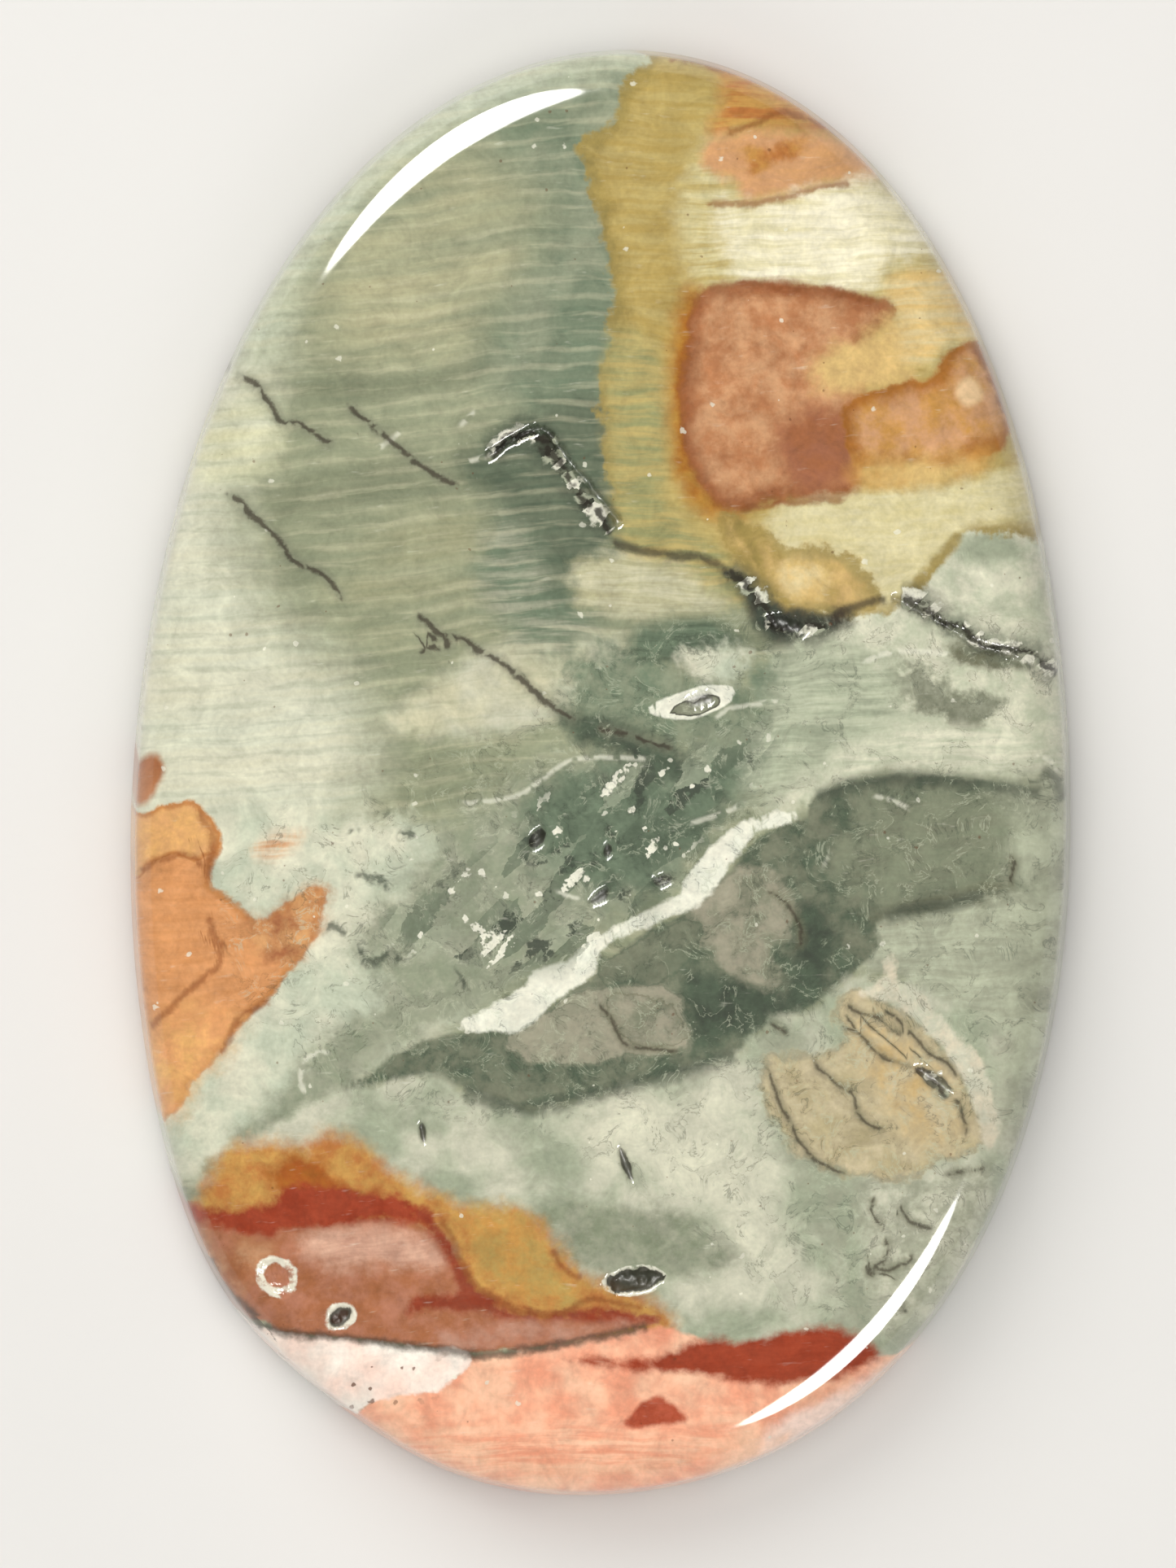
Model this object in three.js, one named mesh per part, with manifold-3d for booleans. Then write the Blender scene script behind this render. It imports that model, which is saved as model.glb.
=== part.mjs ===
// A polished jasper cabochon: one oval piece of stone with a flat back, a low domed face and a
// rounded shoulder between them. A few open pits and two crystal-lined cracks break its face.
// Millimetres, +Z up. The stone lies on its flat back, its length runs along Y, and the origin is
// the middle of the base.

import * as THREE from "three";
import { mergeVertices } from "three/addons/utils/BufferGeometryUtils.js";
import Module from "manifold-3d";

// The rim, seen from above: an ellipse ground a little off true
const HALF_WIDTH = 19.0;
const HALF_LENGTH = 29.3;
const EGG = 0.019; // how much fuller the shoulders of the lower end are than the upper end's
const SQUARE = 0.011; // how far the rim is pulled in at its four ends
const SKEW = 0.004; // how far that pull is turned round the rim
const KNEE = 0.032; // the blunt corner and the flat below it, at the lower left
const KNEE_ANGLE = THREE.MathUtils.degToRad(-130);
const KNEE_SPREAD = THREE.MathUtils.degToRad(16);

// The section, from the back up to the crown
const BACK_BEVEL = 0.7; // width and height of the small bevel round the back
const WALL_TOP = 2.9;
const WALL_LEAN = 0.3; // how far the side wall leans in by its top
const SHOULDER_RADIUS = 2.4;
const SHOULDER_START = THREE.MathUtils.degToRad(76); // slope where the shoulder leaves the wall
const SHOULDER_END = THREE.MathUtils.degToRad(8); // slope where the crown begins
const CROWN_RISE = 1.4;
const CROWN_POWER = 2.1; // 2 is a plain parabola, and more is flatter in the middle

// How finely the faces follow those shapes
const RIM_STEPS = 144;
const SHOULDER_STEPS = 8;
const CROWN_STEPS = 6;
const PIT_SIDES = 12;
const PIT_RINGS = 8;

// Open pits in the face: middle, length, width, depth, and the turn of the length from +X in degrees
const PITS = [
  { x: 2.0, y: -20.1, length: 2.3, width: 0.95, depth: 0.8, turn: 10 }, // almond hole by the red zone
  { x: -9.6, y: -22.0, length: 1.1, width: 0.7, depth: 0.5, turn: 35 },
  { x: -12.2, y: -20.5, length: 1.4, width: 1.2, depth: 0.3, turn: -40 },
  { x: 3.7, y: 3.0, length: 1.5, width: 0.6, depth: 0.25, turn: 18 }, // middle of the agate eye
  { x: 1.5, y: -15.5, length: 1.4, width: 0.4, depth: 0.4, turn: -68 }, // slit
  { x: -6.6, y: -14.5, length: 0.9, width: 0.35, depth: 0.35, turn: -80 },
  { x: -2.5, y: -2.7, length: 0.9, width: 0.55, depth: 0.5, turn: 52 },
  { x: 0.3, y: -3.1, length: 0.6, width: 0.4, depth: 0.35, turn: 75 },
  { x: 2.5, y: -4.2, length: 0.8, width: 0.5, depth: 0.35, turn: 20 },
  { x: 0.1, y: -4.9, length: 1.0, width: 0.5, depth: 0.3, turn: 40 },
  { x: 13.6, y: -11.7, length: 1.9, width: 0.55, depth: 0.5, turn: -32 }, // split in the tan patch
  { x: 7.0, y: 6.1, length: 1.7, width: 0.8, depth: 0.6, turn: -8 }, // dark corner below the amber
];

// Crystal-lined cracks: points along each, with the width and depth of the trench
const CRACKS = [
  {
    points: [[-5.0, 12.4], [-3.5, 13.4], [-2.7, 13.4], [-2.0, 12.5], [-0.9, 11.3], [0.2, 10.0]],
    width: 0.55,
    depth: 0.4,
  },
  {
    points: [[11.3, 7.3], [12.4, 6.8], [13.6, 6.2], [14.7, 5.6], [16.2, 5.3]],
    width: 0.5,
    depth: 0.35,
  },
];
const TRENCH_OVERLAP = 1.3; // each pit of a trench is this much longer than its stretch

const stone = new THREE.MeshStandardMaterial({ color: 0x9ba592, roughness: 0.12, metalness: 0 });
stone.name = "polished_jasper";

// A point of the rim at an angle round the oval, on the back's own plane
function rimPoint(angle) {
  const fromKnee = THREE.MathUtils.euclideanModulo(angle - KNEE_ANGLE + Math.PI, 2 * Math.PI) - Math.PI;
  const knee = fromKnee / KNEE_SPREAD;
  const reach =
    1 -
    EGG * Math.sin(3 * angle) -
    SQUARE * Math.cos(4 * angle) -
    SKEW * Math.sin(4 * angle) -
    KNEE * knee * Math.exp(-knee * knee);
  return new THREE.Vector2(HALF_WIDTH * reach * Math.cos(angle), HALF_LENGTH * reach * Math.sin(angle));
}

// The same point, moved straight in from the rim
function insetPoint(angle, inset) {
  const step = 1e-3;
  const along = rimPoint(angle + step).sub(rimPoint(angle - step)).normalize();
  return rimPoint(angle).add(new THREE.Vector2(-along.y, along.x).multiplyScalar(inset));
}

// The shoulder's arc as points of inset from the rim and height
function shoulderArc() {
  const arc = [];
  for (let i = 0; i <= SHOULDER_STEPS; i++) {
    const slope = THREE.MathUtils.lerp(SHOULDER_START, SHOULDER_END, i / SHOULDER_STEPS);
    arc.push({
      inset: WALL_LEAN + SHOULDER_RADIUS * (Math.sin(SHOULDER_START) - Math.sin(slope)),
      height: WALL_TOP + SHOULDER_RADIUS * (Math.cos(slope) - Math.cos(SHOULDER_START)),
    });
  }
  return arc;
}

// A round blank is turned first, and then every ring of it is laid along the oval: rings within the
// shoulder keep their distance from the rim, and those inside it shrink evenly to the middle
function blank() {
  const arc = shoulderArc();
  const crownEdge = arc[arc.length - 1];
  const roundRim = HALF_WIDTH;
  const roundCrown = roundRim - crownEdge.inset;

  const profile = [
    new THREE.Vector2(0, 0),
    new THREE.Vector2(roundCrown / 2, 0),
    new THREE.Vector2(roundCrown, 0),
    new THREE.Vector2(roundRim - BACK_BEVEL, 0),
    new THREE.Vector2(roundRim, BACK_BEVEL),
    ...arc.map(({ inset, height }) => new THREE.Vector2(roundRim - inset, height)),
  ];
  for (let i = CROWN_STEPS - 1; i >= 0; i--) {
    const share = i / CROWN_STEPS;
    const height = crownEdge.height + CROWN_RISE * (1 - Math.pow(share, CROWN_POWER));
    profile.push(new THREE.Vector2(roundCrown * share, height));
  }

  const geometry = new THREE.LatheGeometry(profile, RIM_STEPS).rotateX(Math.PI / 2);
  const position = geometry.getAttribute("position");
  for (let i = 0; i < position.count; i++) {
    const radius = Math.hypot(position.getX(i), position.getY(i));
    const angle = Math.atan2(position.getY(i), position.getX(i));
    const inset = Math.min(roundRim - radius, crownEdge.inset);
    const share = Math.min(radius / roundCrown, 1);
    const place = insetPoint(angle, inset).multiplyScalar(share);
    position.setXY(i, place.x, place.y);
  }
  geometry.computeBoundingBox();
  const { min, max } = geometry.boundingBox;
  return geometry.translate(-(min.x + max.x) / 2, -(min.y + max.y) / 2, -min.z);
}

// The height of the blank's face over a point of its base
function faceHeight(blankMesh, x, y) {
  const above = new THREE.Vector3(x, y, 2 * SHOULDER_RADIUS + WALL_TOP + CROWN_RISE);
  const ray = new THREE.Raycaster(above, new THREE.Vector3(0, 0, -1));
  return ray.intersectObject(blankMesh)[0].point.z;
}

// The hollow of one pit: an ellipsoid whose lower half is in the stone
function pitHollow(blankMesh, { x, y, length, width, depth, turn }) {
  return new THREE.SphereGeometry(1, PIT_SIDES, PIT_RINGS)
    .rotateX(Math.PI / 2)
    .scale(length / 2, width / 2, depth)
    .rotateZ(THREE.MathUtils.degToRad(turn))
    .translate(x, y, faceHeight(blankMesh, x, y));
}

// A trench is a chain of long pits, one to each stretch of the crack
function trenchHollows(blankMesh, { points, width, depth }) {
  return points.slice(1).map(([x, y], i) => {
    const [fromX, fromY] = points[i];
    return pitHollow(blankMesh, {
      x: (x + fromX) / 2,
      y: (y + fromY) / 2,
      length: TRENCH_OVERLAP * Math.hypot(x - fromX, y - fromY),
      width,
      depth,
      turn: THREE.MathUtils.radToDeg(Math.atan2(y - fromY, x - fromX)),
    });
  });
}

const wasm = await Module();
wasm.setup();

function toSolid(geometry) {
  const bare = geometry.clone();
  bare.deleteAttribute("normal");
  bare.deleteAttribute("uv");
  const merged = mergeVertices(bare, 1e-4);
  return new wasm.Manifold(
    new wasm.Mesh({
      numProp: 3,
      vertProperties: merged.getAttribute("position").array,
      triVerts: new Uint32Array(merged.index.array),
    }),
  );
}

function toGeometry(solid) {
  const mesh = solid.getMesh();
  const geometry = new THREE.BufferGeometry();
  geometry.setAttribute("position", new THREE.BufferAttribute(mesh.vertProperties, 3));
  geometry.setIndex(new THREE.BufferAttribute(mesh.triVerts, 1));
  geometry.computeVertexNormals();
  return geometry;
}

function cabochon() {
  const blankGeometry = blank();
  const blankMesh = new THREE.Mesh(blankGeometry, stone);
  const hollows = [
    ...PITS.map((pit) => pitHollow(blankMesh, pit)),
    ...CRACKS.flatMap((crack) => trenchHollows(blankMesh, crack)),
  ];
  const solid = hollows.reduce((left, hollow) => left.subtract(toSolid(hollow)), toSolid(blankGeometry));
  const mesh = new THREE.Mesh(toGeometry(solid), stone);
  mesh.name = "cabochon";
  return mesh;
}

const group = new THREE.Group();
group.add(cabochon());

export default group;
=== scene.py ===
"""A polished oval jasper cabochon: its finished mesh, its markings and a plain pale stage.

The tables below are in millimetres on the stone: X across it, Y along it towards the narrower
end, and the middle of its flat back at the origin. Blender's own lengths are in metres.
"""

import math
from collections import namedtuple

import bmesh
import bpy
import numpy as np
from bpy.props import FloatProperty, FloatVectorProperty, PointerProperty
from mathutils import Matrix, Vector, noise


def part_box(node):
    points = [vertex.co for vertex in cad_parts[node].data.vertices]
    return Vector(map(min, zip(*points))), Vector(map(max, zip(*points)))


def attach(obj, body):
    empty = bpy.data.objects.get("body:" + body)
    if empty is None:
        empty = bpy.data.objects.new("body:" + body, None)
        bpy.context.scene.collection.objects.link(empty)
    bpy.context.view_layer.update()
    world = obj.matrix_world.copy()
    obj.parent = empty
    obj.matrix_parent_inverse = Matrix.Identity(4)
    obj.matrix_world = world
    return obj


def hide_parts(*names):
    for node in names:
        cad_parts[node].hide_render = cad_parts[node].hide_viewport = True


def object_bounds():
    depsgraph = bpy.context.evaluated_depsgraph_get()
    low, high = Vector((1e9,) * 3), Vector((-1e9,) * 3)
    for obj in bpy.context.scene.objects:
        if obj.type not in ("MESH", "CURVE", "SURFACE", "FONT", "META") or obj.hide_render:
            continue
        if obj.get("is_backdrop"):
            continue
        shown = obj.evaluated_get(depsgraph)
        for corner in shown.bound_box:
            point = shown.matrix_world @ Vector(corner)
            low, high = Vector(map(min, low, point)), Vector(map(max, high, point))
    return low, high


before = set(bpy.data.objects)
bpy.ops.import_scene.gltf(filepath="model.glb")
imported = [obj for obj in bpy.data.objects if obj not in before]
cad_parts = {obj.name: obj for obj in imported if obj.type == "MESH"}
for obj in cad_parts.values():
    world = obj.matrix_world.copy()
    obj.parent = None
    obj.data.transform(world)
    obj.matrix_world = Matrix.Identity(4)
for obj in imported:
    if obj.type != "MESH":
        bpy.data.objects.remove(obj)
CAD_LOW, CAD_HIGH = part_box("cabochon")
CAD_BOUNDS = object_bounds()

bl_info = {
    "name": "Jasper Cabochon",
    "version": (1, 0, 0),
    "blender": (4, 5, 0),
    "location": "View3D > Sidebar > Cabochon",
    "description": "Builds a polished oval cabochon of patterned jasper on a plain stage",
    "category": "Add Mesh",
}

MM = 0.001

# The rim, seen from above: an ellipse ground a little off true
EGG = 0.019  # how much fuller the shoulders of the lower end are than the upper end's
SQUARE = 0.011  # how far the rim is pulled in at its four ends
SKEW = 0.004  # how far that pull is turned round the rim
KNEE = 0.032  # the blunt corner and the flat below it, at the lower left
KNEE_ANGLE = math.radians(-130)
KNEE_SPREAD = math.radians(16)

# The section, from the back up to the crown
SHOULDER_START = math.radians(76)  # slope where the shoulder leaves the wall
SHOULDER_END = math.radians(8)  # slope where the crown begins
SHOULDER_STEPS = 7
CROWN_POWER = 2.1  # 2 is a plain parabola, and more is flatter in the middle
EDGE_SUPPORT = 0.25  # distance of the extra rings that keep the back's bevel crisp
LOW_LEAN = 0.1  # share of the wall's lean that is reached just above the bevel
JUST_INSIDE = 0.999  # the crown is raised within this share of its radius
SMALL_TURN = 1e-3  # half the angle over which the rim's direction is taken

# How finely the mesh is made
RIM_SIDES = 160
SMOOTH_LEVELS = 2
HOLLOW_CUTS = 2
HOLLOW_MARGIN = 0.35  # the finer faces reach this far past a pit or a crack
CURVE_STEPS = 4  # pieces to each stretch of a smoothed outline

# How the markings run on down the side and across the back
LEAN = Vector((0.35, -0.25))  # sideways shift for each millimetre below the shoulder
GRAIN_RISE = 0.09  # the growth lines climb towards +X by this much
GRAIN_HUMP = 0.5  # and bow up by this much near HUMP_PLACE
HUMP_PLACE = -3.0
HUMP_SPREAD = 5.0
FAR = 4.0  # a distance to an outline is kept only up to this

# Open pits in the face: middle, length, width, depth, turn of the length from +X in degrees, the
# width of the pale crystal lining round the mouth, and the strength of the painted shade inside it
Pit = namedtuple("Pit", "x y length width depth turn lining dark", defaults=(1,))
PITS = (
    Pit(2.0, -20.1, 2.3, 0.95, 0.8, 10, 0.16),  # almond hole by the red zone
    Pit(-9.6, -22.0, 1.1, 0.7, 0.5, 35, 0.2),
    Pit(-12.2, -20.5, 1.4, 1.2, 0.3, -40, 0.2, 0.3),
    Pit(3.7, 3.0, 1.5, 0.6, 0.25, 18, 0),  # middle of the agate eye
    Pit(1.5, -15.5, 1.4, 0.4, 0.4, -68, 0),  # slit
    Pit(-6.6, -14.5, 0.9, 0.35, 0.35, -80, 0),
    Pit(-2.5, -2.7, 0.9, 0.55, 0.5, 52, 0),
    Pit(0.3, -3.1, 0.6, 0.4, 0.35, 75, 0),
    Pit(2.5, -4.2, 0.8, 0.5, 0.35, 20, 0),
    Pit(0.1, -4.9, 1.0, 0.5, 0.3, 40, 0),
    Pit(13.6, -11.7, 1.9, 0.55, 0.5, -32, 0),  # split in the tan patch
    Pit(7.0, 6.1, 1.7, 0.8, 0.6, -8, 0),  # dark corner below the amber
)

# Crystal-lined cracks: points along each, with the width and depth of the trench
Crack = namedtuple("Crack", "width depth points")
CRACKS = (
    Crack(0.55, 0.4, [(-5.0, 12.4), (-3.5, 13.4), (-2.7, 13.4), (-2.0, 12.5), (-0.9, 11.3), (0.2, 10.0)]),
    Crack(0.5, 0.35, [(11.3, 7.3), (12.4, 6.8), (13.6, 6.2), (14.7, 5.6), (16.2, 5.3)]),
)

# How the pits and the cracks are carved
MOUTH_RAGGED = 0.22  # how far their rims wander, as a share of half the width
MOUTH_SCALE = 2.4
FRACTAL = (0.8, 2.1, 3)  # smoothness, step in fineness and number of layers of that wandering
PIT_REACH = 1.4  # a ragged rim stays within this many times the pit's own size
FLOOR_STEPS = 0.25  # share of the depth that the crystals on their floors take up
FLOOR_STEP_SCALE = 5.0
BEAD_WIDTH = 0.62  # a crack's usual width, as a share of its full width
BEAD_CHANGE = 0.38  # how much that share changes along it
BEAD_LEAST = 0.15
BEAD_SCALE = 1.6
PIT_SEED = 7.3  # step in the noise from one pit to the next
BEAD_SEED = 40  # where in the noise the cracks' beads start
CRACK_SEED = 50  # and their rims and floors
LEAST_SHARE = 0.05  # stands in where a share of the way to a pit's rim is near zero
HOLLOW_SHADE_DEPTH = 0.5  # the painted shade inside a pit is full from this depth down
CRACK_SHADE_STRENGTH = 0.35  # strength of the painted shade in a crack's trench, beside a pit as deep

# The stone's colours as the lamps show them, as web colours
PALETTE = {
    "sage": "9A9F80",
    "khaki": "80866A",
    "drab": "9E9D79",
    "celadon": "DADCC5",
    "beige": "B5B18B",
    "straw_cream": "CFCBAA",
    "teal_grey": "8E967C",
    "teal": "6F7F67",
    "deep_teal": "55634F",
    "lemon": "DDDAAB",
    "ochre": "B59C57",
    "olive": "9C8848",
    "wheat": "C0AC6C",
    "pale_straw": "D9CF9E",
    "moss": "9A9A68",
    "amber": "C8934A",
    "honey": "E2C07C",
    "rust": "B8743A",
    "rust_dark": "8A4A20",
    "rust_brown": "A4663F",
    "red_brown": "A5551D",
    "amber_brown": "A5651F",
    "peach_tan": "D3A074",
    "rose_tan": "C0906A",
    "pale_peach": "F3CF9F",
    "ivory": "FAF3D6",
    "cream": "E2D9AE",
    "cream_tan": "E0CE9C",
    "tan": "D0AF72",
    "terracotta": "B87B50",
    "terracotta_red": "BC5A3D",
    "dusty_rose": "A06648",
    "butter": "D6CA94",
    "mist": "C0C5AA",
    "pale_teal": "C2C9B1",
    "moss_grey": "A2AA90",
    "lichen": "868E74",
    "grey_sage": "9FA28B",
    "oat": "CDCCB5",
    "fog": "DEDCC3",
    "pewter": "7D806A",
    "slate_green": "6A725D",
    "slate": "434B3E",
    "olive_grey": "6E6D55",
    "taupe": "96967F",
    "warm_grey": "A39E88",
    "stone_white": "E6E8D6",
    "sand": "B5A881",
    "pale_sand": "CBBD9A",
    "warm_sand": "CFB27B",
    "blush_sand": "E0D5BA",
    "apricot": "DF9F69",
    "clay": "D9A36B",
    "clay_dark": "CF8E57",
    "gold": "E8B26D",
    "ochre_deep": "B98532",
    "mustard": "C99B51",
    "maroon": "933618",
    "brick": "A34427",
    "mauve": "B77A5E",
    "mauve_pale": "E3B69B",
    "mauve_dark": "91482F",
    "mauve_grey": "C09079",
    "chalk": "FFF6E8",
    "pale_pink": "FFE0CF",
    "salmon": "F0A07E",
    "salmon_pale": "FFCBA8",
    "ink": "2A261C",
    "umber": "3F362B",
    "seam_brown": "6A3C20",
    "fleck": "F4F2DE",
}

# A patch of colour: its two tones and the pattern that mixes them, half the width of its soft edge,
# how far the edge wanders, its outline, and a darker rim as tone, width and strength
Zone = namedtuple("Zone", "name tone second pattern soft wobble outline rim", defaults=(None,))

# Runs of points along edges where patches and seams meet
BODY_LINE = [
    (-5.3, -12.7), (-4.0, -13.2), (-2.7, -13.5), (-1.2, -13.2), (0.3, -12.8), (1.8, -12.3), (3.3, -11.9),
    (4.6, -11.4), (5.9, -10.8),
]
BODY_EDGE = [
    (-8.1, -12.6), (-6.5, -12.3), *BODY_LINE, (6.3, -10.2), (7.4, -9.5), (8.6, -9.0), (9.7, -8.1),
    (10.2, -7.7),
]
LEFT_TOP = [(-20.8, -2.5), (-18.5, -2.4), (-17.4, -2.1), (-16.3, -1.8), (-15.5, -2.4)]
LEFT_FOOT = [(-14.4, -11.0), (-15.0, -12.0), (-15.9, -12.9), (-16.6, -14.2), (-20.3, -15.5)]
FINGER_TIP = [(-12.7, -6.0), (-11.8, -5.3), (-11.1, -5.0), (-10.8, -5.4), (-11.0, -6.3), (-11.4, -7.3)]
MAUVE_FOOT = [(-12.2, -22.7), (-11.1, -22.8), (-8.6, -22.9), (-6.2, -23.1)]
SALMON_TOP = [(-4.3, -23.3), (-2.5, -23.1), (-1.1, -22.8), (1.2, -22.3)]

# Soft tints of the banded field, which lie under its growth lines
TINTS = (
    Zone("pale_left", "celadon", "fog", "bands", soft=2.2, wobble=1.0, outline=[
        (-14.1, 16.7), (-14.9, 12.1), (-15.1, 8.9), (-13.6, 5.7), (-10.3, 2.9), (-9.5, -0.7),
        (-13.3, -4.1), (-22.1, -4.5), (-22.5, 7.3), (-18.9, 16.6),
    ]),
    Zone("pale_edge", "mist", "pale_teal", "bands", soft=0.9, wobble=0.7, outline=[
        (-13.8, 16.2), (-12.1, 19.3), (-9.9, 22.2), (-7.2, 24.8), (-3.2, 26.4), (0.1, 26.5), (1.6, 29.0),
        (-4.1, 30.0), (-10.1, 26.9), (-14.8, 21.8), (-17.0, 15.6),
    ]),
    Zone("beige_high", "beige", "sage", "bands", soft=1.8, wobble=1.0, outline=[
        (-9.4, 22.5), (-6.8, 23.7), (-4.2, 23.0), (-3.8, 20.4), (-4.6, 17.8), (-7.8, 16.3), (-11.1, 16.5),
        (-11.9, 18.8), (-10.9, 20.8),
    ]),
    Zone("beige_mid", "drab", "sage", "bands", soft=1.6, wobble=1.0, outline=[
        (-9.2, 9.1), (-6.3, 10.2), (-3.0, 9.7), (-2.3, 7.4), (-3.5, 5.7), (-6.8, 5.3), (-10.0, 5.8),
        (-10.8, 7.4),
    ]),
    Zone("cream_mid", "straw_cream", "oat", "clouds", soft=0.5, wobble=0.5, outline=[
        (-4.8, 4.7), (-2.2, 5.4), (0.4, 5.4), (1.4, 4.6), (0.5, 3.4), (-1.7, 2.2), (-4.0, 1.5),
        (-7.3, 1.2), (-8.6, 1.9), (-6.7, 3.3),
    ]),
    Zone("teal_top", "teal_grey", "teal", "clouds", soft=1.3, wobble=0.8, outline=[
        (-2.4, 27.3), (0.5, 27.4), (-0.2, 22.5), (0.9, 18.0), (0.8, 13.4), (-1.9, 13.6), (-4.8, 14.8),
        (-5.3, 17.1), (-3.7, 20.1), (-2.9, 22.7), (-5.6, 24.9),
    ]),
    Zone("teal_edge", "teal", "teal", "streaks", soft=0.8, wobble=0.8, outline=[
        (-2.0, 18.5), (-0.5, 19.5), (0.6, 17.3), (1.0, 11.4), (-0.4, 10.1), (-2.1, 11.3), (-3.3, 13.2),
        (-2.6, 16.5),
    ]),
    Zone("teal_mid", "teal", "grey_sage", "streaks", soft=0.9, wobble=0.8, outline=[
        (-4.5, 10.4), (-2.4, 10.5), (-0.2, 9.4), (-0.1, 6.6), (-1.5, 4.6), (-3.3, 4.8), (-4.9, 6.4),
        (-5.4, 8.3),
    ]),
    Zone("teal_dark", "deep_teal", "deep_teal", "clouds", soft=0.8, wobble=0.6, outline=[
        (-6.1, 11.8), (-5.0, 13.3), (-3.5, 14.2), (-1.6, 14.9), (1.0, 14.7), (1.5, 10.2), (1.3, 8.2),
        (-0.3, 6.8), (-2.4, 7.1), (-3.1, 9.0), (-4.5, 10.4),
    ]),
    Zone("yellow_left", "lemon", "celadon", "bands", soft=0.9, wobble=0.6, outline=[
        (-19.8, 13.9), (-16.2, 13.9), (-13.8, 13.6), (-13.4, 12.5), (-14.5, 11.5), (-16.8, 11.1),
        (-20.3, 10.3),
    ]),
)

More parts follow.
